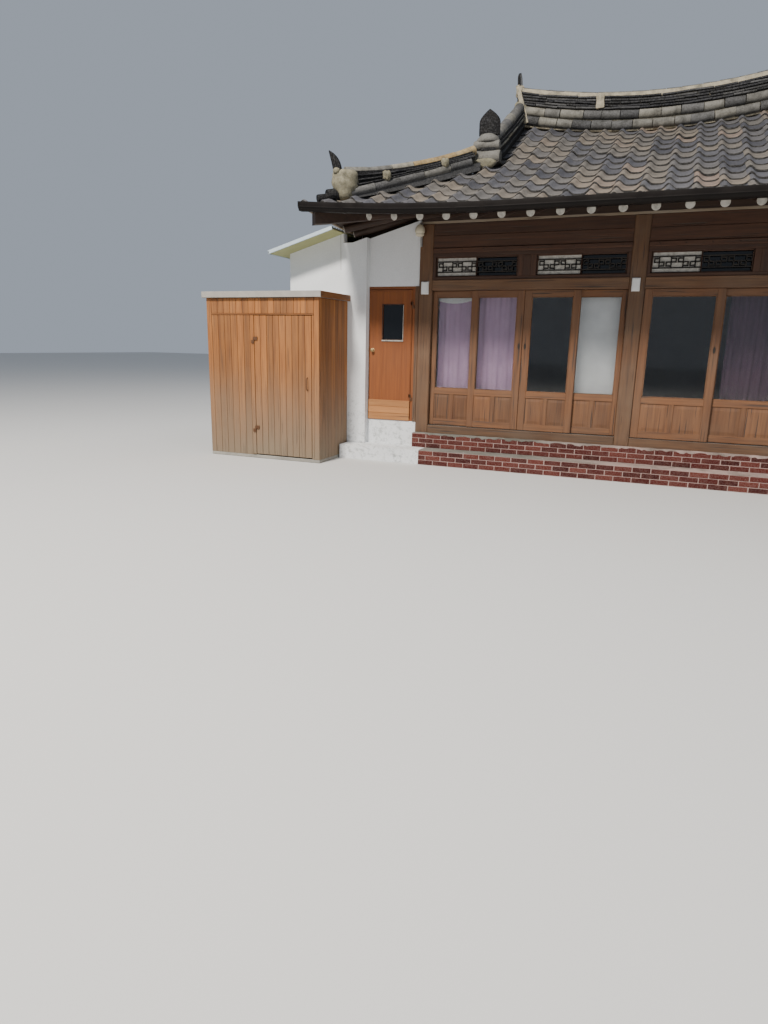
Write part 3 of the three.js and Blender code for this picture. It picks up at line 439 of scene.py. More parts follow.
def timber_group():
    """Colour, height and dullness of old wood from its grain vector and tone."""
    start = {"Pale": (0.5, 0.3, 0.15), "Dark": (0.2, 0.1, 0.05), "Grey": (0.4, 0.36, 0.3), "Bloom": 0.3,
             "Foot": 0.0, "Contrast": 0.35, "Whole": 0.0}
    tree, given = shared("old timber", start, FINISH_OUTPUTS)
    grain, tone = read(tree, "grain"), read(tree, "tone")
    bands = noise(tree, grain, 3.0, 5.0, (0.5, 9.0, 9.0))
    streaks = noise(tree, grain, 24.0, 6.0, (0.12, 8.0, 8.0), 0.7)
    clouds = noise(tree, place(tree), 1.7, 3.0)
    body = ranged(tree, sums(tree, "ADD", bands, sums(tree, "MULTIPLY", streaks, 0.5)), 0.45, 1.05)
    colour = blended(tree, body, given["Dark"], given["Pale"])
    shade = blended(tree, tone, (0.62, 0.60, 0.58, 1), (1.22, 1.18, 1.12, 1))
    colour = blended(tree, sums(tree, "MULTIPLY", given["Contrast"], 2.0), colour,
                     blended(tree, 1.0, colour, shade, "MULTIPLY"))
    height = put(tree, "ShaderNodeSeparateXYZ", {0: place(tree)}).outputs["Z"]
    foot = sums(tree, "MULTIPLY", given["Foot"], ranged(tree, sums(tree, "ADD", height, clouds), 1.9, 0.5))
    bloom = sums(tree, "MULTIPLY", given["Bloom"], ranged(tree, clouds, 0.35, 0.7))
    bloom = sums(tree, "ADD", bloom, foot)
    colour = blended(tree, put(tree, "ShaderNodeClamp", {0: bloom}).outputs[0], colour, given["Grey"])
    checks = ranged(tree, noise(tree, grain, 30.0, 2.0, (0.05, 1.6, 1.6), 0.4), 0.30, 0.37)
    checks = sums(tree, "MAXIMUM", checks, given["Whole"])
    colour = blended(tree, checks, (0.05, 0.03, 0.02, 1), colour)
    height = sums(tree, "ADD", sums(tree, "MULTIPLY", streaks, 0.5), checks)
    dull = ranged(tree, streaks, 0.2, 0.8, 0.55, 0.85)
    return finish_group(tree, {"Colour": colour, "Height": height, "Dull": dull})


TIMBER = timber_group()


def timber(name, pale, dark, grey=(0.36, 0.31, 0.25), bloom=0.3, foot=0.0, contrast=0.35, depth=0.004,
           whole=0.0):
    """A wood finish with its own colours and weathering. whole=1 leaves out the dark splits."""

    def paint(tree):
        wood = use(tree, TIMBER, {"Pale": pale, "Dark": dark, "Grey": grey, "Bloom": bloom, "Foot": foot,
                                  "Contrast": contrast, "Whole": whole})
        return {"Base Color": wood["Colour"], "Roughness": wood["Dull"],
                "Normal": bump(tree, wood["Height"], 0.45, depth)}

    return material(name, paint)


post_wood = timber("post_wood", (0.165, 0.080, 0.034), (0.055, 0.025, 0.012), (0.17, 0.125, 0.085), 0.30)
leaf_wood = timber("leaf_wood", (0.205, 0.088, 0.034), (0.078, 0.032, 0.014), (0.19, 0.13, 0.08), 0.22)
header_wood = timber("header_wood", (0.088, 0.036, 0.017), (0.028, 0.011, 0.006), (0.085, 0.055, 0.035), 0.15)
eave_wood = timber("eave_wood", (0.050, 0.024, 0.013), (0.016, 0.008, 0.005), (0.05, 0.035, 0.025), 0.15)
edge_wood = timber("edge_wood", (0.30, 0.24, 0.17), (0.17, 0.125, 0.085), (0.28, 0.25, 0.21), 0.5)
shed_wood = timber("shed_wood", (0.40, 0.160, 0.040), (0.16, 0.053, 0.012), (0.215, 0.155, 0.098), 0.09,
                   foot=1.0, contrast=0.55, whole=0.6)
door_wood = timber("door_wood", (0.27, 0.080, 0.015), (0.155, 0.042, 0.009), (0.18, 0.09, 0.04), 0.10,
                   contrast=0.12, depth=0.0015, whole=1.0)
pine_wood = timber("pine_wood", (0.50, 0.225, 0.075), (0.34, 0.135, 0.040), (0.34, 0.22, 0.13), 0.1)
floor_wood = timber("floor_wood", (0.16, 0.08, 0.036), (0.075, 0.035, 0.016), (0.13, 0.09, 0.06), 0.1)

# %% [markdown]
# Clay, mortar, plaster and brick are all mineral: a fine grit, cloudy patches and dark or pale stains. One
# group gives that to any colour. Each tile or brick has its own colour from its tone, through a colour
# ramp.

# %% Mineral finishes


def mineral_group():
    """A colour with cloudy patches, small specks and stains, and its fine grit as a height."""
    start = {"Colour": (0.5, 0.5, 0.5), "Stain": (0.2, 0.2, 0.18), "Amount": 0.4, "Size": 3.0, "Grit": 220.0}
    tree, given = shared("mineral surface", start, FINISH_OUTPUTS)
    spot = place(tree)
    clouds = noise(tree, spot, 3.0, 6.0, rough=0.65)
    tree.links.new(given["Size"], clouds.node.inputs["Scale"])
    grit = noise(tree, spot, 200.0, 2.0)
    tree.links.new(given["Grit"], grit.node.inputs["Scale"])
    specks = noise(tree, spot, 60.0, 3.0)
    share = sums(tree, "MULTIPLY", ranged(tree, clouds, 0.42, 0.68), given["Amount"])
    colour = blended(tree, share, given["Colour"], given["Stain"])
    speck_share = ranged(tree, specks, 0.3, 0.7, -0.12, 0.12)
    glint = sums(tree, "MULTIPLY", speck_share, 0.25)
    bright = put(tree, "ShaderNodeBrightContrast", {"Color": colour, "Bright": glint})
    height = sums(tree, "ADD", sums(tree, "MULTIPLY", grit, 0.4), specks)
    return finish_group(tree, {"Colour": bright.outputs[0], "Height": height,
                               "Dull": ranged(tree, specks, 0.2, 0.8, 0.7, 0.95)})


MINERAL = mineral_group()


def mineral(name, colour, stain, amount=0.4, size=3.0, grit=220.0, depth=0.002, strength=0.4, dull=None):
    """A mineral finish. colour is one colour, or stops of a ramp read by each part's tone."""

    def paint(tree):
        base = ramp(tree, read(tree, "tone"), colour) if isinstance(colour[0], tuple) else colour
        clay = use(tree, MINERAL, {"Colour": base, "Stain": stain, "Amount": amount, "Size": size,
                                   "Grit": grit})
        result = {"Base Color": clay["Colour"], "Roughness": clay["Dull"], "Specular IOR Level": 0.25,
                  "Normal": bump(tree, clay["Height"], strength, depth)}
        if dull is not None:
            result["Roughness"] = dull
        return result

    return material(name, paint)


TILE_TONES = [(0.0, (0.052, 0.052, 0.062)), (0.35, (0.088, 0.087, 0.098)), (0.6, (0.125, 0.115, 0.105)),
              (0.85, (0.180, 0.150, 0.118)), (1.0, (0.21, 0.155, 0.125))]
RIDGE_TONES = [(0.0, (0.010, 0.010, 0.012)), (0.3, (0.040, 0.040, 0.042)), (0.5, (0.105, 0.103, 0.100)),
               (0.75, (0.23, 0.215, 0.175)), (0.9, (0.30, 0.22, 0.11)), (1.0, (0.33, 0.185, 0.075))]
BRICK_TONES = [(0.0, (0.045, 0.012, 0.010)), (0.5, (0.080, 0.020, 0.016)), (1.0, (0.12, 0.034, 0.026))]
roof_tile = mineral("roof_tile", TILE_TONES, (0.055, 0.052, 0.045), 0.55, 9.0, 160.0, 0.003)
# near black: a painted shadow on each pantile's nose and on the underside of its edge
painted_nose_shadow = mineral("painted_nose_shadow", (0.030, 0.028, 0.026), (0.012, 0.012, 0.011), 0.5, 9.0, 160.0, 0.003)
ridge_tile = mineral("ridge_tile", RIDGE_TONES, (0.030, 0.029, 0.026), 0.7, 8.0, 160.0, 0.003)
tile_bed = mineral("tile_bed", (0.045, 0.040, 0.034), (0.015, 0.014, 0.012), 0.5, 6.0)
# near black: painted shade for the ridges' cores and the stacks' blocks, and the colour of the dark end, horn
# and barrel tiles
dark_tile_and_painted_shade = mineral("dark_tile_and_painted_shade", (0.006, 0.006, 0.007), (0.016, 0.014, 0.012), 0.5, 9.0, 160.0, 0.003)
ridge_plaster = mineral("ridge_plaster", (0.33, 0.29, 0.21), (0.12, 0.11, 0.085), 0.85, 9.0, 120.0, 0.010)
old_mortar = mineral("old_mortar", (0.215, 0.195, 0.135), (0.075, 0.070, 0.050), 0.9, 9.0, 120.0, 0.012)
brick_clay = mineral("brick_clay", BRICK_TONES, (0.16, 0.075, 0.06), 0.30, 14.0, 260.0, 0.0015)
brick_joint = mineral("brick_joint", (0.36, 0.25, 0.22), (0.20, 0.145, 0.125), 0.6, 10.0)
wall_plaster = mineral("wall_plaster", (0.74, 0.75, 0.755), (0.55, 0.55, 0.54), 0.35, 1.3, 90.0, 0.003, 0.25)
concrete = mineral("concrete", (0.33, 0.31, 0.27), (0.16, 0.15, 0.13), 0.6, 3.0)
white_paint = mineral("white_paint", (0.50, 0.48, 0.43), (0.18, 0.16, 0.135), 0.7, 16.0, dull=0.6)


def stained_plaster(tree):
    """White plaster whose foot, up to half a metre, is spotted grey by splashes and damp."""
    spot = place(tree)
    height = put(tree, "ShaderNodeSeparateXYZ", {0: spot}).outputs["Z"]
    clay = use(tree, MINERAL, {"Colour": (0.74, 0.75, 0.755), "Stain": (0.56, 0.56, 0.55), "Amount": 0.35,
                               "Size": 1.3, "Grit": 90.0})
    low = ranged(tree, sums(tree, "ADD", height, noise(tree, spot, 2.5, 5.0)), 1.75, 0.75)
    spots = ranged(tree, noise(tree, spot, 16.0, 8.0, rough=0.75), 0.50, 0.66)
    share = sums(tree, "MULTIPLY", sums(tree, "MULTIPLY", low, spots), 0.8)
    colour = blended(tree, share, clay["Colour"], (0.26, 0.27, 0.26, 1))
    return {"Base Color": colour, "Roughness": clay["Dull"], "Normal": bump(tree, clay["Height"], 0.3, 0.003)}


foot_plaster = material("foot_plaster", stained_plaster)

# %% [markdown]
# Metal, glass, paint and cloth need few nodes: thin dust on metal, a plain clear shader for glass, and for
# cloth a fine weave whose threads run down and across, with sheen at grazing angles.

# %% Metal, glass and cloth


def dusty(name, colour, metallic, rough, dust=(0.25, 0.22, 0.19), amount=0.25, shine=0.5):
    """Painted or bare metal and plastic under thin uneven dust."""

    def paint(tree):
        patches = noise(tree, place(tree), 7.0, 6.0)
        share = sums(tree, "MULTIPLY", ranged(tree, patches, 0.4, 0.75), amount)
        return {"Base Color": blended(tree, share, (*colour, 1), (*dust, 1)), "Metallic": metallic,
                "Roughness": ranged(tree, patches, 0.3, 0.8, rough, rough + 0.25),
                "Specular IOR Level": shine}

    return material(name, paint)


gutter_metal = dusty("gutter_metal", (0.006, 0.0045, 0.004), 0.0, 0.45, (0.030, 0.024, 0.021), 0.2, 0.15)
steel = dusty("steel", (0.45, 0.43, 0.40), 1.0, 0.25)
brass = dusty("brass", (0.50, 0.36, 0.16), 1.0, 0.28)
dark_metal = dusty("dark_metal", (0.025, 0.021, 0.018), 0.5, 0.35, (0.10, 0.085, 0.07))
hinge_metal = dusty("hinge_metal", (0.13, 0.060, 0.028), 0.5, 0.5, (0.08, 0.04, 0.022))
white_plastic = dusty("white_plastic", (0.70, 0.70, 0.68), 0.0, 0.4, amount=0.2)
cream_plastic = dusty("cream_plastic", (0.62, 0.56, 0.42), 0.0, 0.4)
blue_paint = dusty("blue_paint", (0.46, 0.55, 0.60), 0.0, 0.45, (0.35, 0.33, 0.30))
green_soffit = dusty("green_soffit", (0.42, 0.42, 0.19), 0.0, 0.6, (0.30, 0.28, 0.2))
sheet_metal = dusty("sheet_metal", (0.33, 0.35, 0.36), 0.6, 0.4, (0.20, 0.18, 0.155), 0.5)
pale_board = dusty("pale_board", (0.33, 0.305, 0.27), 0.0, 0.6, (0.22, 0.2, 0.18), 0.5)


def pane(name, tint, clear, rough=0.02):
    """A pane: clear is its transmission, and the rest of it shows its tint."""

    def paint(tree):
        wipe = noise(tree, place(tree), 3.0, 4.0)
        return {"Base Color": (*tint, 1), "Transmission Weight": clear, "IOR": 1.45,
                "Roughness": ranged(tree, wipe, 0.2, 0.8, rough, rough + 0.03)}

    return material(name, paint)


door_glass = pane("door_glass", (0.95, 0.96, 0.96), 1.0)
dark_glass = pane("dark_glass", (0.006, 0.007, 0.009), 0.0, 0.04)


THREADS = 900.0          # threads a metre


def cloth(name, colour, sheen=0.4):
    """Woven cloth: threads across and down, seen as fine bumps and a slight change of colour."""
    worn, deep = ((*[share * c for c in colour], 1) for share in (0.85, 0.6))

    def paint(tree):
        grain = read(tree, "grain")
        across = noise(tree, grain, THREADS, 1.0, (1.0, 0.05, 1.0))
        down = noise(tree, grain, THREADS, 1.0, (0.05, 1.0, 1.0))
        weave = sums(tree, "ADD", across, down)
        soft = noise(tree, grain, 4.0, 3.0)
        shade = blended(tree, ranged(tree, soft, 0.3, 0.7), worn, (*colour, 1))
        return {"Base Color": blended(tree, ranged(tree, weave, 0.7, 1.3, 0.0, 0.25), shade, deep),
                "Roughness": ranged(tree, weave, 0.6, 1.4, 0.8, 0.95), "Sheen Weight": sheen,
                "Normal": bump(tree, weave, 0.15, 0.0006)}

    return material(name, paint)


mauve_cloth = cloth("mauve_cloth", (0.60, 0.40, 0.58))
plum_cloth = cloth("plum_cloth", (0.10, 0.055, 0.085))
white_cloth = cloth("white_cloth", (0.93, 0.94, 0.94), 0.2)
print("materials:", len(bpy.data.materials), "groups:", len(bpy.data.node_groups))

# %% [markdown]
# Nothing laid by hand is quite straight. ripple() gives the slow unevenness of cement, mortar and old tiles
# as the mean of a few sine waves that run in random directions. slab() closes a top and a bottom grid of
# points into one solid sheet, which serves for boards, cement, roof decks and cloth alike.

# %% Unevenness and sheets


def ripple(x, y, wave=0.5, seed=1):
    """mean of sin(k (x cos a + y sin a) + s) over six random k, a and s."""
    picked = np.random.default_rng(seed)
    angle, shift = picked.uniform(0, 2 * math.pi, (2, 6))
    number = 2 * math.pi / wave * picked.uniform(0.6, 1.8, 6)
    x, y = np.asarray(x, float)[..., None], np.asarray(y, float)[..., None]
    return np.sin(number * (x * np.cos(angle) + y * np.sin(angle)) + shift).mean(-1) * 2.0


def slab(form, top, bottom, tone=0.5, grain=0, drift=True):
    """A closed sheet between a top and a bottom grid, each of shape (rows, columns, 3)."""
    if np.ndim(grain) > 0:
        grain = np.concatenate([grain, grain[:, ::-1]], 1)
    return closed(form, np.concatenate([top, bottom[:, ::-1]], 1), tone, grain, drift)


def grid(x, y):
    """Two arrays that hold every pair of x and y."""
    return np.meshgrid(x, y, indexing="ij")


def sheet_over(form, x, y, height, thick):
    """A level crust over a rectangle: height(x, y) is its top."""
    xs, ys = grid(x, y)
    top = height(xs, ys)
    return slab(form, xyz(xs, ys, top), xyz(xs, ys, top - thick))


# %% [markdown]
# ## The brick base and its step
# The bricks are laid in running bond: each course is moved by half a brick. A brick's left end is
# low + (i - 1 + odd / 2) * 220 mm, and it is cut off at the wall's corners. The frame's base shows between
# them as mortar. The treads carry a worn cement crust, grey at the left and pinkish at the right.

# %% Brickwork
BRICK_LONG, BRICK_HIGH = 0.210, 0.0595
PITCH_LONG, PITCH_HIGH = 0.220, 0.0667
BRICK_PROUD = 0.004      # how far the bricks stand out of their mortar


def bricks(form, low, high, axis, way):
    """Brick faces on the side of a box that looks along way times axis."""
    along = 1 - axis
    rows = round((high[2] - low[2]) / PITCH_HIGH)
    count = int((high[along] - low[along]) / PITCH_LONG) + 3
    i, j = (part.ravel() for part in grid(np.arange(count), np.arange(rows)))
    start = low[along] + (i - 1 + 0.5 * (j % 2)) * PITCH_LONG
    left = np.maximum(start, low[along])
    right = np.minimum(start + BRICK_LONG, high[along])
    keep = right - left > 0.035
    left, right, j = left[keep], right[keep], j[keep]
    face = (high if way > 0 else low)[axis]
    outer = face + way * (BRICK_PROUD + rng.normal(0, 0.0011, len(left)))
    inner = np.full(len(left), face - way * 0.02)
    lows, highs = np.empty((len(left), 3)), np.empty((len(left), 3))
    lows[:, along], highs[:, along] = left, right
    lows[:, axis], highs[:, axis] = np.minimum(outer, inner), np.maximum(outer, inner)
    lows[:, 2] = low[2] + j * PITCH_HIGH + 0.0045
    highs[:, 2] = lows[:, 2] + BRICK_HIGH
    return blocks(form, lows, highs, 0.004)


def tread_paint(tree):
    """Worn cement, grey at the step's left end and pinkish further right."""
    spot = place(tree)
    along = put(tree, "ShaderNodeSeparateXYZ", {0: spot}).outputs["X"]
    wander = sums(tree, "ADD", along, noise(tree, spot, 2.0, 5.0))
    share = ranged(tree, wander, 0.2, 1.6)
    base = blended(tree, share, (0.20, 0.19, 0.165, 1), (0.40, 0.29, 0.255, 1))
    clay = use(tree, MINERAL, {"Colour": base, "Stain": (0.105, 0.10, 0.08), "Amount": 0.8, "Size": 3.4,
                               "Grit": 140.0})
    return {"Base Color": clay["Colour"], "Roughness": clay["Dull"],
            "Normal": bump(tree, clay["Height"], 0.5, 0.003)}


tread_stone = material("tread_stone", tread_paint)
step_low, step_high = room("brick_step")
base_low, base_high = room("foundation")
STEP_TOP, BASE_TOP = step_high[2], base_high[2]
brickwork = Form()
bricks(brickwork, step_low, step_high, 1, -1)
bricks(brickwork, step_low, step_high, 0, 1)
above_step = np.array([base_low[0], base_low[1], STEP_TOP])
bricks(brickwork, above_step, base_high, 1, -1)
bricks(brickwork, base_low, base_high, 0, 1)
bricks(brickwork, base_low, base_high, 1, 1)
make("brick_faces", brickwork, brick_clay, slot="brick")

cement = Form()
tread_x = np.linspace(step_low[0] + 0.002, step_high[0] - 0.002, 180)
sheet_over(cement, tread_x, np.linspace(step_low[1] + 0.003, base_low[1] - 0.006, 9),
           lambda x, y: STEP_TOP + 0.005 + 0.0022 * ripple(x, y, 0.35, 3), 0.006)
sheet_over(cement, np.linspace(base_low[0] + 0.004, base_high[0] - 0.004, 180),
           np.linspace(base_low[1] + 0.002, FRONT + 0.02, 5),
           lambda x, y: BASE_TOP + 0.004 + 0.0018 * ripple(x, y, 0.3, 4), 0.006)
drip = 0.016 + 0.014 * np.clip(ripple(tread_x, 0, 0.16, 5), -0.9, 1.2) + 0.006 * ripple(tread_x, 1, 0.04, 6)
edge = xyz(tread_x, base_low[1] - 0.0062, BASE_TOP + 0.002)
foot = edge - xyz(0, -0.002, drip)
front_face = np.stack([edge, (edge + foot) / 2 - [0, 0.0012, 0], foot], 1)
slab(cement, front_face, front_face + [0, 0.012, 0])
make("cement_treads", cement, tread_stone, slot="brick")

platform_low, platform_high = room("annex_platform")
platform = Form()
xs = np.linspace(platform_low[0], platform_high[0], 40)
ring = np.array([[0, 0], [0, 0.985], [0.05, 1], [1, 1], [1, 0]])
size = platform_high[1:] - platform_low[1:]
edge_wear = 0.004 * ripple(xs[:, None], ring[None, :, 1], 0.3, 8)
closed(platform, xyz(xs[:, None], platform_low[1] + ring[:, 0] * size[0] + edge_wear * (ring[:, 0] < 0.5),
                     platform_low[2] + ring[:, 1] * size[1] + 0.5 * edge_wear * (ring[:, 1] > 0.9)))
make("white_platform", platform, foot_plaster, slot="concrete", replaces=["annex_platform"])

# %% [markdown]
# ## Posts, sills and lintels
# Each timber is a block whose edges are worn round. The sills carry a flush steel rail under each row of
# leaves, and the posts stand on the base with a thin shadow gap.

# %% Front timbers
FRONT_POSTS = ("post_front_left", "post_front_middle", "post_front_right")
RAIL_ROWS = {"left_bay": (-2.350, -2.392), "right_bay": (-2.406, -2.367, -2.328)}
ROD_BEHIND, ROD_UP = 0.030, 0.012       # the curtain rod's place behind the post and over the lintel's foot
timbers, rails = Form(), Form()
for name in FRONT_POSTS:
    low, high = room(name)
    blocks(timbers, low, high, 0.009, grain=2)
for bay, rows in RAIL_ROWS.items():
    low, high = room("sill_" + bay)
    blocks(timbers, low, high - [0, 0, 0.004], 0.006)
    for y in rows:
        blocks(rails, [low[0], y - 0.004, high[2] - 0.006], [high[0], y + 0.004, high[2] - 0.0002], 0.001)
    low, high = room("lintel_" + bay)
    blocks(timbers, low, [high[0], POST_BACK, high[2]], 0.006)
    blocks(timbers, [low[0], FRONT - 0.004, high[2] - 0.022], [high[0], FRONT + 0.02, high[2]], 0.005)
    rods(rails, *xyz([low[0] + 0.01, high[0] - 0.01], POST_BACK + ROD_BEHIND, low[2] + ROD_UP), 0.008, 10)
make("front_timbers", timbers, post_wood, slot="old_timber",
     replaces=[*FRONT_POSTS, *("sill_" + bay for bay in RAIL_ROWS), *("lintel_" + bay for bay in RAIL_ROWS)])
make("steel_rails", rails, steel, slot="gutter_metal")

# %% [markdown]
# ## The header over each bay
# Over the lintel sits a frame with two long windows. Each window has two sashes with a key-pattern band: at
# bar number k a full bar carries a square hook on its upper left and lower right, and the next bar has them
# mirrored. The left sash of each window is backed with pale paper, the right one is open to the dark glass.
# Above, wide dark boards reach up to the purlin, held by round pegs.

# %% Header frames and windows
WINDOW_LOW, WINDOW_HIGH = 2.556, 2.811
SASH_FRAME, BAR = 0.013, 0.015
headers, fret, backing = Form(), Form(), Form()


def fretwork(x0, x1, z0, z1, y):
    """Bars of the key pattern between x0 and x1: rails, full bars, and two square hooks at each full bar."""
    tall = z1 - z0
    low, hook_low, middle, hook_high, high = z0 + tall * np.array([0.21, 0.31, 0.50, 0.69, 0.79])
    half = BAR / 2
    pitch = (x1 - x0) / 4
    reach = 0.40 * pitch
    level = [(x0, x1, z) for z in (low, high)]
    upright = []
    for k in range(4):
        x = x0 + (k + 0.55) * pitch
        upright.append((x, low, high))
        turned = (-1) ** k
        for way, za, zb in ((-turned, middle, hook_high), (turned, hook_low, middle)):
            end = x + way * reach
            level += [(min(x, end), max(x, end), za), (min(x, end), max(x, end), zb)]
            upright.append((end, za, zb))
    left, right, z = np.transpose(level)
    blocks(fret, xyz(left - half, y, z - half), xyz(right + half, y + 0.012, z + half), 0.0015)
    x, foot, head = np.transpose(upright)
    blocks(fret, xyz(x - half, y + 0.001, foot), xyz(x + half, y + 0.011, head), 0.0015, grain=2)


def sash(x0, x1, papered):
    """One sash: its four frame bars, its fretwork, and behind it pale paper when papered."""
    front, bar = FRONT + 0.036, SASH_FRAME
    border(headers, x0, x1, WINDOW_LOW, WINDOW_HIGH, front, bar, 0.03)
    fretwork(x0 + bar, x1 - bar, WINDOW_LOW + bar, WINDOW_HIGH - bar, front + 0.008)
    if papered:
        blocks(backing, [x0 + 0.01, front + 0.022, WINDOW_LOW + 0.01],
               [x1 - 0.01, front + 0.026, WINDOW_HIGH - 0.01], 0.001)


for bay in ("left_bay", "right_bay"):
    low, high = room("header_" + bay)
    middle = (low[0] + high[0]) / 2
    holes = [(low[0] + 0.0417, middle - 0.123), (middle + 0.123, high[0] - 0.0417)]
    for x0, x1 in holes:
        centre = (x0 + x1) / 2
        sash(x0 + 0.004, centre + 0.010, True)
        sash(centre - 0.002, x1 - 0.004, False)
    front, back = FRONT + 0.012, high[1]
    uprights = [(low[0], holes[0][0]), (holes[0][1], holes[1][0]), (holes[1][1], high[0])]
    for x0, x1 in uprights:
        blocks(headers, [x0, front, WINDOW_LOW - 0.002], [x1, back - 0.03, WINDOW_HIGH + 0.002], 0.004,
               grain=2)
    blocks(headers, [middle - 0.050, front - 0.006, WINDOW_LOW], [middle + 0.050, front + 0.02, WINDOW_HIGH],
           0.004, grain=2)
    blocks(headers, [low[0], front, low[2]], [high[0], back - 0.03, WINDOW_LOW], 0.004)
    blocks(headers, [low[0], front, WINDOW_HIGH], [high[0], back - 0.03, 2.868], 0.004)
    blocks(headers, [low[0], FRONT - 0.006, 2.866], [high[0], back, 2.926], 0.007, tone=0.95)
    board_edges = np.array([2.928, 3.086, high[2]])
    blocks(headers, [[low[0], front + 0.004 * k, z + 0.001] for k, z in enumerate(board_edges[:-1])],
           [[high[0], back, z] for z in board_edges[1:]], 0.004)
    pegs = np.linspace(low[0] + 0.12, high[0] - 0.12, 9)
    rods(headers, xyz(pegs, FRONT - 0.012, 2.897), xyz(pegs, FRONT + 0.02, 2.897), 0.010, 10, tone=0.0)
make("header_frames", headers, header_wood, slot="dark_timber",
     replaces=["header_left_bay", "header_right_bay"])
make("fretwork", fret, dark_metal, slot="dark_timber")
make("window_paper", backing, white_paint, slot="plaster")
for node in ("transom_glass_left_bay", "transom_glass_right_bay"):
    finish_node(node, dark_glass)

# %% [markdown]
# ## The sliding leaves
# A leaf is a frame of two stiles and three rails round a pane, with two raised panels below it. A raised
# panel is a sheet whose thickness grows from its edge inwards over a bevel:
# half = 5 mm + 7 mm * smooth((distance from the edge - 12 mm) / 36 mm). Small beads run round the glass,
# and each leaf rolls on two wheels.

# %% Leaves
STILE, JAMB = 0.092, 0.060
LEAVES = (("left", 1, JAMB, STILE), ("left", 2, STILE, STILE), ("left", 3, STILE, STILE),
          ("left", 4, STILE, JAMB), ("right", 1, STILE, STILE), ("right", 2, STILE, STILE),
          ("right", 3, STILE, STILE))
RAIL_LOW, RAIL_MID_LOW, RAIL_MID_HIGH, RAIL_HIGH = 0.612, 0.966, 1.050, 2.291
LEAF_BOTTOM = 0.526
MUNTIN = 0.060
PULL_HEIGHT = 1.65


def raised_panel(form, x0, x1, z0, z1, y):
    """A panel with a bevelled edge, as a front and a back grid."""
    fine = np.array([0, 0.004, 0.012, 0.03, 0.045, 0.052])
    xs = np.concatenate([x0 + fine, x1 - fine[::-1]])
    zs = np.concatenate([z0 + fine, z1 - fine[::-1]])
    gx, gz = grid(xs, zs)
    inside = np.minimum.reduce([gx - x0, x1 - gx, gz - z0, z1 - gz])
    t = np.clip((inside - 0.012) / 0.036, 0, 1)
    half = 0.005 + 0.007 * t * t * (3 - 2 * t)
    grain = xyz(gz, gx, 0) + rng.uniform(0, 9, 3)
    slab(form, xyz(gx, y - half, gz), xyz(gx, y + half, gz), rng.random(), grain, drift=False)


def leaf(node, body, left, right):
    """The wood, wheels and glass of one leaf."""
    low, high = room(node)
    y0, y1, y = low[1], high[1], (low[1] + high[1]) / 2
    x0, x1 = low[0], high[0]
    inner0, inner1 = x0 + left, x1 - right
    wood, wheels, glass = Form(), Form(), Form()
    blocks(wood, [[x0, y0, LEAF_BOTTOM], [inner1, y0, LEAF_BOTTOM]],
           [[inner0, y1, high[2]], [x1, y1, high[2]]],
           0.004, tone=rng.uniform(0.3, 0.8, 2), grain=2)
    levels = [(LEAF_BOTTOM, RAIL_LOW), (RAIL_MID_LOW, RAIL_MID_HIGH), (RAIL_HIGH, high[2])]
    blocks(wood, [[inner0 - 0.001, y0 + 0.001, a + 0.0005] for a, b in levels],
           [[inner1 + 0.001, y1 - 0.001, b - 0.0005] for a, b in levels], 0.003, tone=[0.7, 1.0, 0.6])
    middle = (inner0 + inner1) / 2
    blocks(wood, [middle - MUNTIN / 2, y0 + 0.0015, RAIL_LOW - 0.001],
           [middle + MUNTIN / 2, y1 - 0.0015, RAIL_MID_LOW + 0.001], 0.003, tone=rng.uniform(0.3, 0.7),
           grain=2)
    for a, b in ((inner0, middle - MUNTIN / 2), (middle + MUNTIN / 2, inner1)):
        raised_panel(wood, a, b, RAIL_LOW, RAIL_MID_LOW, y)
    for side in (y - 0.0145, y + 0.0035):
        border(wood, inner0, inner1, RAIL_MID_HIGH, RAIL_HIGH, side, 0.011, 0.011)
    make(node + "_wood", wood, leaf_wood, body=body, slot="door_timber", replaces=[node])
    pane_x, pane_z = [inner0 + 0.001, inner1 - 0.001], [RAIL_MID_HIGH + 0.001, RAIL_HIGH - 0.001]
    blocks(glass, [pane_x[0], y - 0.003, pane_z[0]], [pane_x[1], y + 0.003, pane_z[1]], 0.0005)
    make(node + "_glass", glass, door_glass, body=body, slot="glass")
    centre = xyz([x0 + 0.09, x1 - 0.09], y, 0.536)
    rods(wheels, centre - [0, 0.006, 0], centre + [0, 0.006, 0], 0.0155, 16)
    return make(node + "_wheels", wheels, dark_metal, body=body, slot="door_timber")


for bay, number, left, right in LEAVES:
    leaf("%s_bay_leaf_%d" % (bay, number), "%s_leaf_%d" % (bay, number), left, right)


def pull(name, body, x, z, front):
    """A recessed oval finger pull: a rim and a sunk face, as rings whose depth follows their radius."""
    share = np.array([1.0, 0.98, 0.86, 0.80, 0.6, 0.02])
    depth = np.array([0.0, -0.003, -0.003, 0.001, 0.0025, 0.003])
    angle = np.radians(np.arange(0, 360, 15))
    rings = xyz(x + 0.015 * share[:, None] * np.cos(angle), front + depth[:, None],
                z + 0.040 * share[:, None] * np.sin(angle))
    return make(name, closed(Form(), rings), dark_metal, body=body, slot="door_timber")


for name, body, x, face in (("pull_leaf_2", "left_leaf_2", -1.426, -2.4085),
                            ("pull_leaf_3", "left_leaf_3", -1.342, -2.4085),
                            ("pull_leaf_4", "left_leaf_4", -0.718, -2.3665),
                            ("pull_right_1", "right_leaf_1", 0.966, -2.4225),
                            ("pull_right_2", "right_leaf_2", 1.796, -2.3835)):
    pull(name, body, x, PULL_HEIGHT, face)
latch = Form()
blocks(latch, [-2.086, -2.371, 1.235], [-2.070, -2.366, 1.300], 0.002)
make("latch_leaf_1", latch, dark_metal, body="left_leaf_1", slot="door_timber")
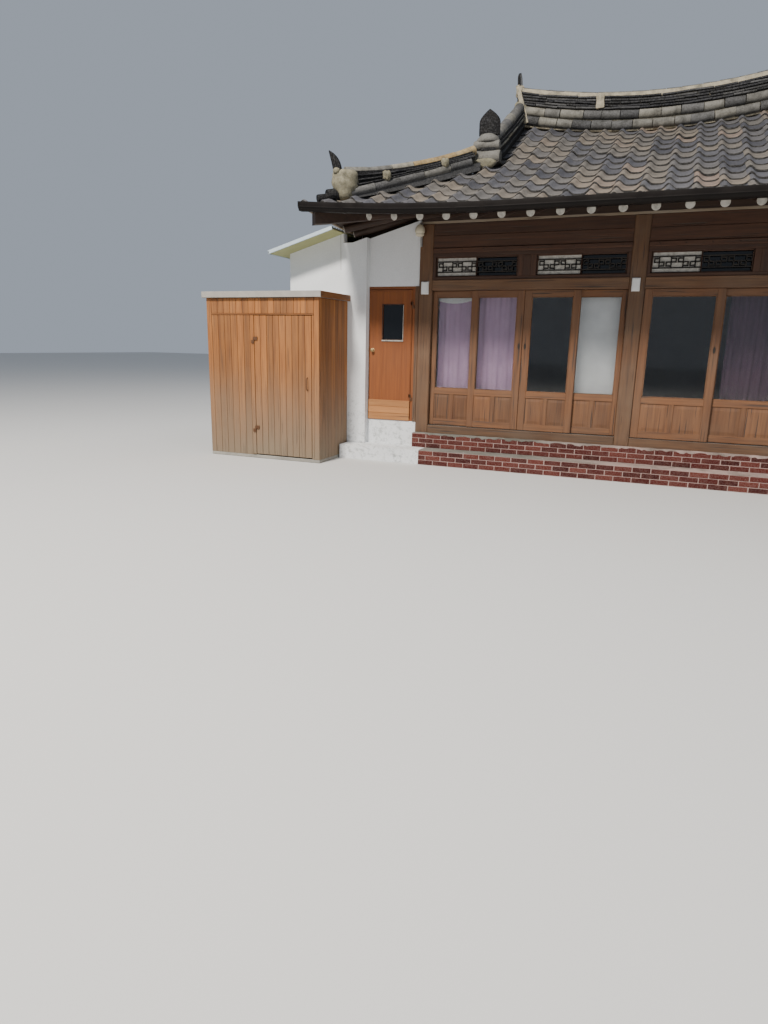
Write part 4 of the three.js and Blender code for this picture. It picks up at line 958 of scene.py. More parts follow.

# %% [markdown]
# ## Curtains and blind
# A curtain is gathered: a flat cloth is pushed into folds, y = A * sin(phase), so its top edge follows a
# longer way than the rail. The flat width printed for it is that way's measured length. The folds open
# towards the hem, and each fold has its own width through a slowly wandering phase.

# %% Cloth
CLOTH_THICK = 0.0012


def length_of(points):
    """The length of a line of points."""
    return float(np.linalg.norm(np.diff(points, axis=0), axis=1).sum())


def thin_sheet(sheet):
    """Cloth 1 mm thick on an upright grid of points."""
    return slab(Form(), sheet - [0, 0.0005, 0], sheet + [0, 0.0005, 0], drift=False,
                grain=xyz(sheet[..., 0], sheet[..., 2], 0))


def curtain(name, node, finish, folds, seed):
    """Cloth hung from the rail: y = middle + A * tanh(2 sin phase) / tanh 2, which squares the folds."""
    low, high = room(node)
    columns, rows = folds * 14, 40
    u, across = grid(np.linspace(0, 1, rows), np.linspace(0, 1, columns))
    wander = 1.1 * ripple(across, 0, 0.45, seed)
    depth = 0.5 * (high[1] - low[1]) - 0.003
    swell = (0.60 + 0.36 * u) * (0.80 + 0.2 * np.abs(ripple(across, 0, 0.3, seed + 1)).clip(0, 1))
    phase = 2 * math.pi * folds * across + wander + 0.35 * ripple(across * 2, u, 1.2, seed + 2) * u
    x = low[0] + 0.02 + across * (high[0] - low[0] - 0.04)
    y = (low[1] + high[1]) / 2 + depth * swell * np.tanh(2.0 * np.sin(phase)) / np.tanh(2.0)
    z = high[2] - 0.004 - u * (high[2] - low[2] - 0.004)
    sheet = xyz(x, y, z)
    widths = np.linalg.norm(np.diff(sheet, axis=1), axis=2)
    along = np.concatenate([np.zeros((rows, 1)), widths.cumsum(1)], 1)
    grain = xyz(along, high[2] - z, 0)
    normal = np.cross(np.gradient(sheet, axis=1), np.gradient(sheet, axis=0))
    normal /= np.linalg.norm(normal, axis=-1, keepdims=True)
    half = normal * CLOTH_THICK / 2
    form = slab(Form(), sheet + half, sheet - half, grain=grain, drift=False)
    piece = make(name, form, finish, slot="curtain_cloth", replaces=[node], sharp=80)
    flat = (float(along[:, -1].mean()), length_of(sheet[:, columns // 2]))
    print(name, "flat size", [round(side, 3) for side in flat])
    return piece, flat


for name, node, cloth_name, folds, seed in (("left_curtain", "curtain_left_bay", mauve_cloth, 8, 21),
                                           ("right_curtain", "curtain_right_bay", plum_cloth, 14, 31)):
    piece, flat = curtain(name, node, cloth_name, folds, seed)

blind_low, blind_high = room("blind_left_bay")
blind_x = np.linspace(blind_low[0], blind_high[0], 30)
blind_z = np.linspace(blind_high[2] - 0.004, blind_low[2] + 0.016, 60)
gz, gx = grid(blind_z, blind_x)
middle_y = (blind_low[1] + blind_high[1]) / 2
blind = thin_sheet(xyz(gx, middle_y + 0.0016 * ripple(gx, gz, 0.5, 41), gz))
piece = make("white_blind", blind, white_cloth, slot="blind_cloth", replaces=["blind_left_bay"], sharp=80)
blind_bar = Form()
rods(blind_bar, *xyz([blind_low[0], blind_high[0]], middle_y, blind_low[2] + 0.010), 0.0045)
rods(blind_bar, [-0.150, middle_y - 0.007, 2.36], [-0.150, middle_y - 0.007, 1.16], 0.0012, 8)
make("blind_bar_and_cord", blind_bar, white_plastic, slot="blind_cloth")

# %% [markdown]
# ## Floor
# Inside, the floor is laid with boards that run from wall to wall.

# %% Floor boards
floor_low, floor_high = room("floor")
edges = np.linspace(floor_low[1], floor_high[1], 31)
boards = Form()
blocks(boards, xyz(floor_low[0], edges[:-1] + 0.001, floor_low[2]),
       xyz(floor_high[0], edges[1:] - 0.001, floor_high[2]), 0.002)
make("floor_boards", boards, floor_wood, slot="old_timber", replaces=["floor"])

# %% [markdown]
# ## The roof's shape
# Each slope is drawn on its own sheet: a runs along its eave, d runs in from the eave, s is the distance to
# the eave's corner. The tiles' height is z = 3.25 + 0.4 d + 0.022546 d^2 + lift, with
# lift = 0.12 (1 - s / 2.6)^2 (1 - d / 1.73), each bracket not under 0. So the eaves turn up at the corners.
# The front and back also sag a little under the middle of the ridge.

# %% Slopes
EAVE_X, EAVE_Y = 3.967, 3.720              # how far out the side eaves and the front and back eaves stand
EDGES = (EAVE_Y, EAVE_X, EAVE_Y, EAVE_X)
HALVES = (EAVE_X, EAVE_Y, EAVE_X, EAVE_Y)  # half the length of each eave
SIDES = ("front", "right", "back", "left")
QUARTERS = ((1, 0), (0, 1), (-1, 0), (0, -1))
HIP_RUN, VERGE = 1.730, 2.237


def lift(d, s):
    """The rise of the eave towards its corner."""
    return 0.12 * np.clip(1 - s / 2.6, 0, None) ** 2 * np.clip(1 - d / HIP_RUN, 0, None)


def tile_top(d, s):
    """The height of the roof's surface."""
    return 3.25 + 0.4 * d + 0.022546 * d * d + lift(d, s)


def sag(a, d):
    """How far the front and back dip under the middle of the ridge."""
    return 0.17 * np.clip(1 - (a / 1.9) ** 2, 0, None) * np.clip((d - 1.2) / 2.52, 0, 1) ** 2


def on_slope(turn, a, d, z):
    """Points of a slope's sheet, turned to its side of the house by quarter turns."""
    c, s = QUARTERS[turn]
    x, y = a, d - EDGES[turn]
    return xyz(c * x - s * y, s * x + c * y, z)


def surface(turn, a, d):
    """The tiles' height on a slope at (a, d)."""
    dip = sag(a, d) if turn % 2 == 0 else 0.0
    return tile_top(d, HALVES[turn] - np.abs(a)) - dip


# %% [markdown]
# ## Pantiles
# One tile's section across the slope is 30 mm * cos(2 pi t + 0.75 sin 2 pi t): a narrow roll and a wide
# trough. Its front edge lies 24 mm higher than its back, on the tile below, and shows its thickness. That
# edge and its underside get a near-black finish, a painted shadow under each tile's nose. Every tile is
# shifted, turned and raised by a few millimetres of its own. The whole slope is one array of tiles, trimmed
# along the hips by two upright planes.

# %% Tiles of the four slopes
TILE_PITCH, TILE_ROW = 0.262, 0.285
EAVE_PAST = 0.020


def pantiles(form, turn, first, last, reach):
    """Rows first to last of a slope, in the columns whose middle lies within reach(row) of its centre."""
    half = HALVES[turn]
    columns = round(2 * half / TILE_PITCH)
    pitch = 2 * half / columns
    i, j = (part.ravel() for part in grid(np.arange(columns), np.arange(first, last)))
    middle = (i + 0.5) * pitch - half
    near = np.abs(middle) - pitch < reach(j * TILE_ROW)
    i, j = i[near], j[near]
    count = len(i)
    t = np.linspace(-0.16, 0.91, 15)
    v = np.array([0.10, 0.0, 0.0, 0.03, 0.22, 0.60, 1.10])
    down = np.array([0.023, 0.023, 0.004, 0.0, 0.0, 0.0, 0.0])
    jog = rng.normal(0, [0.003, 0.006, 0.0028, 0.010], (count, 4)).clip(-0.02, 0.02)
    shape = (count, len(v), len(t))
    t, v, down = t[None, None], v[None, :, None], down[None, :, None]
    a = (i[:, None, None] + t) * pitch - half + jog[:, 0, None, None]
    skew = jog[:, 1, None, None] + jog[:, 3, None, None] * (t - 0.4)
    d = j[:, None, None] * TILE_ROW - EAVE_PAST + v * TILE_ROW + skew
    a, d = np.broadcast_to(a, shape), np.broadcast_to(d, shape)
    wave = 0.030 * np.cos(2 * math.pi * t + 0.75 * np.sin(2 * math.pi * t))
    over = 0.005 * np.clip(-t / 0.16, 0, 1)
    z = surface(turn, a, d) - 0.040 + wave + over + 0.022 - 0.024 * v - down + jog[:, 2, None, None]
    points = on_slope(turn, a, d, z).reshape(count, -1, 3)
    broad = ripple(i * pitch, j * TILE_ROW, 2.5, 50 + turn) * 0.12
    tone = np.clip(rng.beta(1.6, 1.7, count) + broad, 0, 1)
    grain = xyz(d, a, 0).reshape(count, -1, 3)
    # the nose's front and underside faces take the near-black finish, a painted shadow
    painted_shadow_faces = np.repeat([1, 1, 0, 0, 0, 0], shape[2] - 1)
    return form.add(points, quads(shape[1], shape[2]), tone, painted_shadow_faces, grain)


for turn, side in enumerate(SIDES):
    c, s = QUARTERS[turn]
    half, edge = HALVES[turn], EDGES[turn]
    lower = pantiles(Form(), turn, 0, 6 if turn % 2 == 0 else 7, lambda d: half - d)
    hips = []
    for way in (-1, 1):
        corner = (c * way * half + s * edge, s * way * half - c * edge, 0)
        hips.append((corner, (c * way - s, s * way + c, 0)))
    how = {"slot": "roof_tile", "recalc": False, "sharp": 50}
    make("pantiles_" + side, lower, roof_tile, painted_nose_shadow, cuts=hips, **how)
    if turn % 2 == 0:
        upper = pantiles(Form(), turn, 6, 13, lambda d: VERGE + 0.02)
        verges = [((way * (VERGE + 0.035), 0, 0), (way, 0, 0)) for way in (-1, 1)]
        make("upper_pantiles_" + side, upper, roof_tile, painted_nose_shadow, cuts=verges, **how)

# %% [markdown]
# Under the tiles lies a fill of clay, which reaches down to the eave boards: they rise 0.33 m from the eave
# to the purlin. Its edge shows at the eaves and verges. Bargeboards close the verges, and follow the roof's
# curve.

# %% Roof beds and bargeboards
RAFTER_PITCH, RAFTER_RADIUS, RAFTER_START, RAFTER_END, FAN_END = 0.330, 0.050, 0.120, 1.700, 1.450
DECK_DROP = (0.0, 0.013, 0.0, 0.013)
DECK_RUN = (1.305, 1.117, 1.305, 1.117)


def board_line(turn, d):
    """The clay's lower face, without the lift: z = 3.16 - drop + (0.33 + drop) d / run."""
    return 3.16 - DECK_DROP[turn] + (0.33 + DECK_DROP[turn]) * d / DECK_RUN[turn]


for turn, side in enumerate(SIDES):
    run = EDGES[0] if turn % 2 == 0 else HIP_RUN + 0.30
    d = np.unique(np.concatenate([np.linspace(0, RAFTER_END - 0.001, 8), [RAFTER_END],
                                  np.linspace(HIP_RUN, run, 8)]))
    share = np.linspace(-1, 1, 41)
    dd, uu = grid(d, share)
    a = uu * (HALVES[turn] - np.minimum(dd, HIP_RUN))
    high = surface(turn, a, dd) - 0.074
    low = surface(turn, a, dd) - 0.090
    eave_boards = board_line(turn, dd) + lift(dd, HALVES[turn] - np.abs(a))
    low = np.where(dd < RAFTER_END, np.minimum(low, eave_boards), low)
    bed = Form()
    slab(bed, on_slope(turn, a, dd, high), on_slope(turn, a, dd, low))
    make("roof_bed_" + side, bed, tile_bed, slot="roof_tile", replaces=["roof_" + side])
bargeboards = Form()
for way in (-1, 1):
    y = np.linspace(-1.97, 1.97, 41)
    path = xyz(way * (VERGE - 0.02), y, tile_top(EAVE_Y - np.abs(y), 3.0) - 0.19)
    carry(bargeboards, path, [[-0.016, -0.09], [0.016, -0.09], [0.016, 0.09], [-0.016, 0.09]], tone=0.5)
make("bargeboards", bargeboards, eave_wood, slot="dark_timber")
for node in ("gable_left", "gable_right"):
    finish_node(node, wall_plaster)

# %% [markdown]
# ## Ridges
# A ridge is a wall of tiles: half-round tiles along its foot, thin flat courses above them, and a row of
# half-round caps. laid_along() cuts a line into pieces of about one length, each with its own small shift,
# and carries a section along each. Half-round tiles taper a little, so that each seems to slip under the
# next.

# %% Main ridge


def laid_along(form, line, length, section, tones, taper=0.0, gap=0.004, wobble=0.002, start=0.0, seed=1):
    """Pieces along line(u) for u from 0 to 1. tones: two values to draw between, or a course of values."""
    picked = np.random.default_rng(seed)
    fine = line(np.linspace(0, 1, 200))
    run = np.concatenate([[0], np.linalg.norm(np.diff(fine, axis=0), axis=1).cumsum()])
    count = max(1, round(run[-1] / length))
    breaks = np.linspace(0, run[-1], count + 1)
    breaks[1:-1] += picked.uniform(-0.12, 0.12, count - 1) * length + start * length
    breaks = np.unique(np.clip(breaks, 0, run[-1]))
    breaks = breaks[np.concatenate([[True], np.diff(breaks) > 0.03])]
    breaks[-1] = run[-1]
    part = np.linspace(0, 1, 4)
    at = breaks[:-1, None] + gap / 2 + part[None] * (np.diff(breaks)[:, None] - gap)
    path = np.stack([np.interp(at, run, fine[:, k]) for k in range(3)], -1)
    path += picked.normal(0, wobble, (len(at), 1, 3)).clip(-2 * wobble, 2 * wobble)
    path[:, :, 2] += picked.normal(0, 2 * wobble, (len(at), 1)) * (part - 0.5)
    scale = 1 - taper * part[None] + 0 * at
    if len(tones) == 2:
        tone = picked.uniform(*tones, len(at))
    else:
        middle = at.mean(1) / run[-1]
        tone = np.interp(middle, np.linspace(0, 1, len(tones)), tones) + picked.uniform(-0.05, 0.05, len(at))
    return carry(form, path, section, scale, np.clip(tone, 0, 1))


def wall_between(form, low, high, wide, tone):
    """An upright wall between a low and a high line."""
    along = np.gradient(low, axis=0) * [1, 1, 0]
    along /= np.linalg.norm(along, axis=1, keepdims=True)
    side = xyz(along[:, 1], -along[:, 0], 0) * wide / 2
    return closed(form, np.stack([low - side, low + side, high + side, high - side], 1), tone)


def plank_section(wide, thick):
    """A flat section with softened corners."""
    w, t, b = wide / 2, thick / 2, min(0.004, thick / 3)
    return np.array([[-w, -t + b], [-w + b, -t], [w - b, -t], [w, -t + b],
                     [w, t - b], [w - b, t], [-w + b, t], [-w, t - b]])


def bulge(points, amount, wave, seed):
    """Points moved in and out from their middle by ripples, as hand-pressed mortar is."""
    middle = points.reshape(-1, 3).mean(0)
    away = points - middle
    swell = 1 + amount * ripple(points[..., 0] + points[..., 2], points[..., 1] - points[..., 2], wave, seed)
    return middle + away * swell[..., None]


def dollop(form, centre, size, seed, amount=0.10, tone=0.5, flare=0.0, power=0.75):
    """A rough lump of mortar: rings swollen by ripples. flare widens its top, a low power squares it."""
    polar = np.radians(np.linspace(4, 176, 13))[:, None]
    round_ = np.radians(np.arange(0, 360, 18))[None]
    soft = np.sin(polar) ** power * (1 + flare * np.cos(polar))
    points = xyz(soft * np.cos(round_), soft * np.sin(round_), np.cos(polar))
    return closed(form, np.asarray(centre) + bulge(points * size, amount, 1.2 * max(size), seed), tone)


def pointed_tile(form, foot, across, lean, broad, tall, thick):
    """A pointed arch on foot: straight up to its half, then 1 - t^1.8 of its width, t from 0 to 1."""
    across = np.asarray(across, float) / np.linalg.norm(across)
    up = np.array([0, 0, 1.0]) + np.asarray(lean, float)
    up /= np.linalg.norm(up)
    out = np.cross(across, up)
    level = np.array([0, 0.25, 0.5, 0.6, 0.7, 0.8, 0.88, 0.95, 0.995])
    wide = 1 - np.clip(2 * level - 1, 0, 1) ** 1.8
    inner = 1 - 2 * 0.012 / broad
    ring = np.stack([across * (w * broad / 2) * wide[:, None] + out * (o * thick / 2)
                     for w, o in ((-1, -0.5), (-inner, -1), (inner, -1), (1, -0.5), (1, 0.5), (inner, 1),
                                  (-inner, 1), (-1, 0.5))], 1)
    return closed(form, ring + np.asarray(foot, float) + (level * tall)[:, None, None] * up, 0.0)


RIDGE_END, RIDGE_TOP, RIDGE_RISE = 2.150, 5.350, 0.240


def ridge_line(dz, y=0.0, end=RIDGE_END):
    """A line dz over the main ridge's top, which rises from its middle to its ends."""
    def line(u):
        x = (2 * np.asarray(u) - 1) * end
        return xyz(x, y, RIDGE_TOP + RIDGE_RISE * (x / RIDGE_END) ** 2 + dz)
    return line


main, mortar, end_tiles = Form(), Form(), Form()
core_path = ridge_line(-0.30, end=RIDGE_END - 0.02)(np.linspace(0, 1, 30))
carry(mortar, core_path, plank_section(0.19, 0.52), tone=0.4)
for way in (-1, 1):
    for row, dz in enumerate((-0.478, -0.342)):
        laid_along(main, ridge_line(dz, way * 0.098, 2.09 + 0.02 * row), 0.29, circle(0.066, 14),
                   (0.34, 0.70), 0.05, gap=0.010, seed=60 + row + 5 * way, start=0.4 * row)
widths = (0.312, 0.280, 0.300, 0.268, 0.284)
for row, wide in enumerate(widths):
    laid_along(main, ridge_line(-0.262 + 0.038 * row), 0.31, plank_section(wide, 0.026), (0.05, 0.40),
               gap=0.006, wobble=0.003, start=0.5 * (row % 2), seed=70 + row)
laid_along(main, ridge_line(-0.082), 0.235, circle(0.082, 16), (0.44, 0.70), 0.05, gap=0.010, seed=80,
           wobble=0.0015)
for way in (-1, 1):
    strip = np.linspace([way * 1.985, 0, 5.02], [way * 2.150, 0, 5.575], 14)
    strip[:, 0] += 0.006 * ripple(strip[:, 2], 0 * strip[:, 2], 0.2, 9)
    carry(mortar, strip, plank_section(0.072, 0.340), 1 - 0.22 * np.linspace(0, 1, 14) ** 2, tone=0.5,
          up=(0, 1, 0))
    dollop(mortar, [way * 2.130, 0, 5.51], [0.070, 0.12, 0.095], 13)
    pointed_tile(end_tiles, [way * (RIDGE_END - 0.01), 0, 5.56], (0, 1, 0), (way * 0.05, 0, 0), 0.25, 0.225,
                 0.036)
for way in (-1, 1):
    block = np.linspace([-0.885, way * 0.148, 5.125], [-0.895, way * 0.130, 5.315], 8)
    carry(mortar, block, plank_section(0.115, 0.055), 1 + 0.07 * np.sin(np.linspace(0, 9, 8)), tone=0.7,
          up=(0, 1, 0))
make("main_ridge_tiles", main, ridge_tile, slot="ridge_tile", replaces=["main_ridge"], sharp=45)
make("main_ridge_mortar", mortar, ridge_plaster, slot="ridge_tile", sharp=60)
make("main_ridge_end_tiles", end_tiles, dark_tile_and_painted_shade, slot="ridge_tile", sharp=45)

# %% [markdown]
# The four descending ridges run down beside the verges, end in a stack with a pointed tile, and go on over
# the hips as corner ridges. Each corner ridge ends in a lump of mortar with a curved horn tile that leans
# outwards, and two dark barrel tiles under it. The near-black walls and blocks inside the ridges and stacks,
# and the dark grey bed under the corner ridges' foot rows, are painted shade.

# %% Descending and corner ridges
LINE, BEND, CORNER = 2.102, 1.855, (3.667, 3.420)


def side_line(way_x, way_y, dz):
    """The line of a descending ridge, dz over the tiles."""
    def line(u):
        y = 0.13 + np.asarray(u) * (BEND - 0.10 - 0.13)
        return xyz(way_x * LINE, way_y * y, tile_top(EAVE_Y - y, 3.0) + dz)
    return line


CREST = np.array([0.290, -0.200, 0.260])     # height over the tiles: c0 + c1 u + c2 u^2 along the ridge
FOOT_ROW = np.array([0.078, 0.0, -0.075])
CAP_ROW = CREST - [0.058, 0, 0]
CAP_TONES = (0.70, 0.97, 0.94, 0.86, 0.66, 0.58, 0.60)


def hip_line(way_x, way_y, height, side=0.0, stop=1.0, begin=0.0):
    """The line of a corner ridge over the hip; height holds the three numbers of its rise over the tiles."""
    def line(u):
        u = begin + np.asarray(u) * (stop - begin)
        x, y = LINE + u * (CORNER[0] - LINE), BEND + u * (CORNER[1] - BEND)
        d = EAVE_X - x
        z = tile_top(d, d) + height[0] + height[1] * u + height[2] * u * u
        shift = side / math.sqrt(2)
        return xyz(way_x * (x + shift), way_y * (y - shift), z)
    return line


def descending_ridge(tiles, dark, mortar, way_x, way_y, seed):
    """From the main ridge down beside the verge: a near-black wall that is painted shade of its sides,
    three thin courses and a row of caps.
    """
    across = np.linspace(0, 1, 20)
    low, high = (side_line(way_x, way_y, dz)(across) for dz in (-0.06, 0.25))
    # near-black wall: painted shade of the ridge's side faces, seen between and beside the courses
    wall_between(dark, low, high, 0.175, 0.1)
    for dz, wide, tones in ((0.050, 0.225, (0.10, 0.35)), (0.150, 0.212, (0.50, 0.80)),
                            (0.205, 0.200, (0.1, 0.35))):
        laid_along(tiles, side_line(way_x, way_y, dz), 0.30, plank_section(wide, 0.022), tones,
                   seed=seed + round(90 * dz))
    laid_along(tiles, side_line(way_x, way_y, 0.266), 0.33, circle(0.082, 16), (0.40, 0.66), 0.06, gap=0.008,
               seed=seed + 1)
    dollop(mortar, side_line(way_x, way_y, 0.17)(0.0), [0.12, 0.05, 0.19], seed + 51, 0.12, 0.6)


def corner_ridge(tiles, dark, mortar, way_x, way_y, seed):
    """Out over the hip: two foot rows, three thin courses that spread outwards, caps and mortar lumps. A
    near-black core under the caps and a dark grey bed under the foot rows are painted shade.
    """
    across = np.linspace(0, 1, 20)
    # the near-black core under the caps and the dark grey bed under the foot rows are painted shade
    for form, begin, top, wide, tone in ((dark, 0.14, CAP_ROW, 0.150, 0.1),
                                         (tiles, 0.09, FOOT_ROW - [0.035, 0, 0], 0.215, 0.34)):
        low, high = (hip_line(way_x, way_y, row, 0.0, 0.92, begin)(across) for row in ((-0.06, 0, 0), top))
        wall_between(form, low, high, wide, tone)
    for side in (-1, 1):
        laid_along(tiles, hip_line(way_x, way_y, FOOT_ROW, side * 0.075, 0.93, 0.15), 0.34, circle(0.058, 14),
                   (0.36, 0.62), 0.05, gap=0.010, seed=seed + 2 + side)
    for row, share in enumerate((0.2, 0.5, 0.8)):
        height = (1 - share) * (FOOT_ROW + [0.038, 0, 0]) + share * (CAP_ROW - [0.020, 0, 0])
        laid_along(tiles, hip_line(way_x, way_y, height, 0.0, 0.93, 0.13), 0.33,
                   plank_section(0.232 - 0.012 * row, 0.018),
                   (0.04, 0.30), gap=0.006, wobble=0.002, start=0.5 * (row % 2), seed=seed + 20 + row)
    laid_along(tiles, hip_line(way_x, way_y, CAP_ROW, 0.0, 0.95, 0.11), 0.30, circle(0.062, 16), CAP_TONES,
               0.05, gap=0.008, seed=seed + 3)
    for u in (0.33, 0.706):
        for side in (-1, 1):
            spot = hip_line(way_x, way_y, 0.5 * (FOOT_ROW + CAP_ROW) + [0.01, 0, 0], side * 0.095)(u)
            dollop(mortar, spot, [0.058, 0.058, 0.060], seed + 31 + side, 0.16, 0.7)


def stack(tiles, dark, mortar, way_x, way_y, seed):
    """The stack at the bend: a near-black block that is painted shade of its sides, two half-round tiles
    across its face, a band of mortar and a pointed tile.
    """
    foot = tile_top(EAVE_X - LINE, EAVE_X - LINE)
    x, y = way_x * LINE, way_y * BEND
    # near-black block: painted shade on the stack's sides
    blocks(dark, [x - 0.115, y - 0.11, foot - 0.05], [x + 0.115, y + 0.11, foot + 0.33], 0.03, tone=0.2)
    for level, radius, inner, outer in ((0.063, 0.083, -0.165, 0.235), (0.212, 0.061, -0.150, 0.205)):
        start = [x + way_x * inner, y + way_y * 0.062, foot + level]
        rods(tiles, start, [x + way_x * outer, start[1], start[2] + 0.004], radius, 18, tone=0.58,
             inset=0.012)
    dollop(tiles, [x + way_x * 0.02, y + way_y * 0.055, foot + 0.298], [0.150, 0.090, 0.058], seed + 41, 0.05,
           0.55, flare=-0.20, power=0.42)
    dollop(mortar, [x + way_x * 0.05, y + way_y * 0.100, foot - 0.026], [0.170, 0.075, 0.064], seed + 42,
           0.06, 0.6, flare=0.12, power=0.42)
    pointed_tile(dark, [x, y + way_y * 0.062, foot + 0.335], (1, 0, 0), (0, way_y * 0.06, 0), 0.285, 0.315,
                 0.045)


def corner_end(tiles, dark, mortar, way_x, way_y, seed):
    """The end of a corner ridge: a mortar block, a horn tile that leans outwards and two barrel tiles."""
    outwards = np.array([way_x, way_y, 0]) / math.sqrt(2)

    def spot(inwards, rise):
        return xyz(way_x * (EAVE_X - inwards), way_y * (EAVE_Y - inwards), tile_top(inwards, inwards) + rise)

    dollop(mortar, spot(0.385, 0.105), [0.165, 0.165, 0.185], seed + 43, 0.07, flare=0.18, power=0.45)
    dollop(mortar, spot(0.330, 0.275) + [0, way_y * 0.085, 0], [0.042, 0.042, 0.040], seed + 44, 0.08)
    t = np.linspace(0, 1, 12)
    horn = spot(0.300, 0.290) + outwards * (0.030 + 0.070 * t ** 1.3)[:, None]
    horn[:, 2] += 0.230 * t
    angle = np.radians(np.linspace(-100, 100, 13))
    bow = np.concatenate([np.stack([0.088 * np.sin(angle), 0.052 * (1 - np.cos(angle))], 1),
                          np.stack([0.070 * np.sin(angle), 0.052 * (1 - np.cos(angle)) + 0.024], 1)[::-1]])
    carry(dark, horn, bow, 1 - 0.9 * t ** 2.6, tone=0.0, up=tuple(-outwards))
    for inner, outer, rise, radius in ((0.42, 0.215, 0.022, 0.075), (0.30, 0.125, 0.000, 0.050)):
        rods(dark, spot(inner, rise), spot(outer, rise), radius, 18, tone=0.12, inset=0.008)


for way_x, way_y in ((-1, -1), (1, -1), (-1, 1), (1, 1)):
    name = "ridge_%s_%s" % ("front" if way_y < 0 else "back", "left" if way_x < 0 else "right")
    seed = 100 + 10 * way_x + 3 * way_y
    tiles, mortar, dark = Form(), Form(), Form()
    for draw in (descending_ridge, corner_ridge, stack, corner_end):
        draw(tiles, dark, mortar, way_x, way_y, seed)
    make(name + "_tiles", tiles, ridge_tile, slot="ridge_tile", replaces=[name], sharp=45)
    # the _core piece holds the painted shade walls and blocks as well as the dark end, horn and barrel tiles
    make(name + "_core", dark, dark_tile_and_painted_shade, slot="ridge_tile", sharp=45)
    make(name + "_mortar", mortar, old_mortar, slot="ridge_tile", sharp=60)

# %% [markdown]
# ## Eaves
# Round rafters carry the eaves: parallel along the walls, fanned towards the corners. Their ends are
# painted white. Over them lies a deck of planks, and a pale edge board closes the deck at the eave. A
# square hip beam runs out to each corner.

# %% Rafters, decks, edge boards and hip beams
def deck_top(turn, a, d):
    """The upper face of the deck, a hair under the clay: it takes 0.92 of the lift."""
    return board_line(turn, d) - 0.0008 + 0.92 * lift(d, HALVES[turn] - np.abs(a))


def rafter_ends(turn):
    """Outer and inner places (a) of the rafters of one side, and how far in each runs."""
    half = HALVES[turn]
    straight = math.floor((half - RAFTER_END) / RAFTER_PITCH + 0.5)
    last = (straight - 0.5) * RAFTER_PITCH
    fans = math.floor((half - 0.60 - last) / RAFTER_PITCH)
    spread = half - FAN_END - 0.06 - last
    middle = (np.arange(-straight, straight) + 0.5) * RAFTER_PITCH
    k = np.arange(1, fans + 1)
    fan_out, fan_in = last + k * RAFTER_PITCH, last + spread * k / fans
    outer = np.concatenate([middle, fan_out, -fan_out])
    inner = np.concatenate([middle, fan_in, -fan_in])
    deep = np.concatenate([np.full(len(middle), RAFTER_END), np.full(2 * fans, FAN_END)])
    return outer, inner, deep


for turn, side in enumerate(SIDES):
    wood, edge_boards = Form(), Form()
    outer, inner, deep = rafter_ends(turn)
    start = on_slope(turn, outer, RAFTER_START, deck_top(turn, outer, RAFTER_START) - 0.071)
    stop = on_slope(turn, inner, deep, deck_top(turn, inner, deep) - 0.071)
    rods(wood, start, stop, RAFTER_RADIUS - 0.001, 18, tone=rng.uniform(0.2, 0.8, len(outer)), start_kind=1,
         inset=0.006)
    half = HALVES[turn]
    plank = np.linspace(0.075, RAFTER_END, 14)
    share = np.linspace(-1, 1, 61)
    for k in range(len(plank) - 1):
        dd, uu = grid(np.array([plank[k] + 0.001, plank[k + 1] - 0.002]), share)
        a = uu * (half - dd - 0.02)
        top = deck_top(turn, a, dd) - 0.001
        grain = on_slope(turn, a, dd, top) if turn % 2 == 0 else on_slope(turn, a, dd, top)[..., [1, 0, 2]]
        slab(wood, on_slope(turn, a, dd, top), on_slope(turn, a, dd, top - 0.018), rng.random(), grain=grain)
    across = share * (half - 0.05)
    line = on_slope(turn, across, 0.056, deck_top(turn, across, 0.056) - 0.008)
    carry(edge_boards, line, plank_section(0.030, 0.044), tone=0.6)
    if turn % 2 == 0:
        for way in (-1, 1):
            run = np.linspace(0.09, FAN_END, 12)
            face = -1 if turn == 0 else 1
            deep_beam = 0.098 + 0.075 * np.clip(1 - run / 1.1, 0, None)
            top = deck_top(0, EAVE_X - run, run) - 0.021
            x, y = way * (EAVE_X - run), face * (EAVE_Y - run)
            shift = 0.070 / math.sqrt(2)
            rings = np.stack([xyz(x + way * out * shift, y - face * out * shift, top - down * deep_beam)
                              for out, down in ((-1, 0), (1, 0), (1, 1), (-1, 1))], 1)
            closed(wood, rings, 0.4, run[:, None, None] * [1, 0, 0] + rings * [0, 0.7, 1])
    make("eave_" + side, wood, eave_wood, white_paint, slot="dark_timber", replaces=["rafters_" + side])
    make("eave_edge_" + side, edge_boards, edge_wood, slot="dark_timber")

# %% [markdown]
# ## Gutter
# The gutter is a folded metal channel that follows the turned-up eave. Its section has a rolled lip at the
# front and a fold line half way down. Joint bands cover the four lengths' ends, straps hold it to the eave,
# and its ends are closed.

# %% Gutter
CHANNEL = np.array([[-0.104, 0.000], [-0.110, -0.002], [-0.110, -0.056], [-0.079, -0.103], [-0.074, -0.105],
                    [0.0, -0.105], [0.0, 0.0], [-0.0025, 0.0], [-0.0025, -0.1025], [-0.072, -0.1025],
                    [-0.1075, -0.055], [-0.1075, -0.008], [-0.098, -0.008], [-0.096, -0.004]])
GUTTER_END = 3.9965
gutter = Form()


def gutter_line(x):
    """Points along the gutter's back upper edge."""
    return xyz(x, -3.7205, 3.2205 + lift(0, np.maximum(0, EAVE_X - np.abs(x))))


def gutter_run(start, stop, section, steps, tone):
    """A stretch of gutter or band: its section in a plane square to X."""
    x = np.linspace(start, stop, steps)
    section = np.array(section)
    rings = gutter_line(x)[:, None] + xyz(0, *section.T)
    closed(gutter, rings, tone, xyz(x[:, None], *section.T))


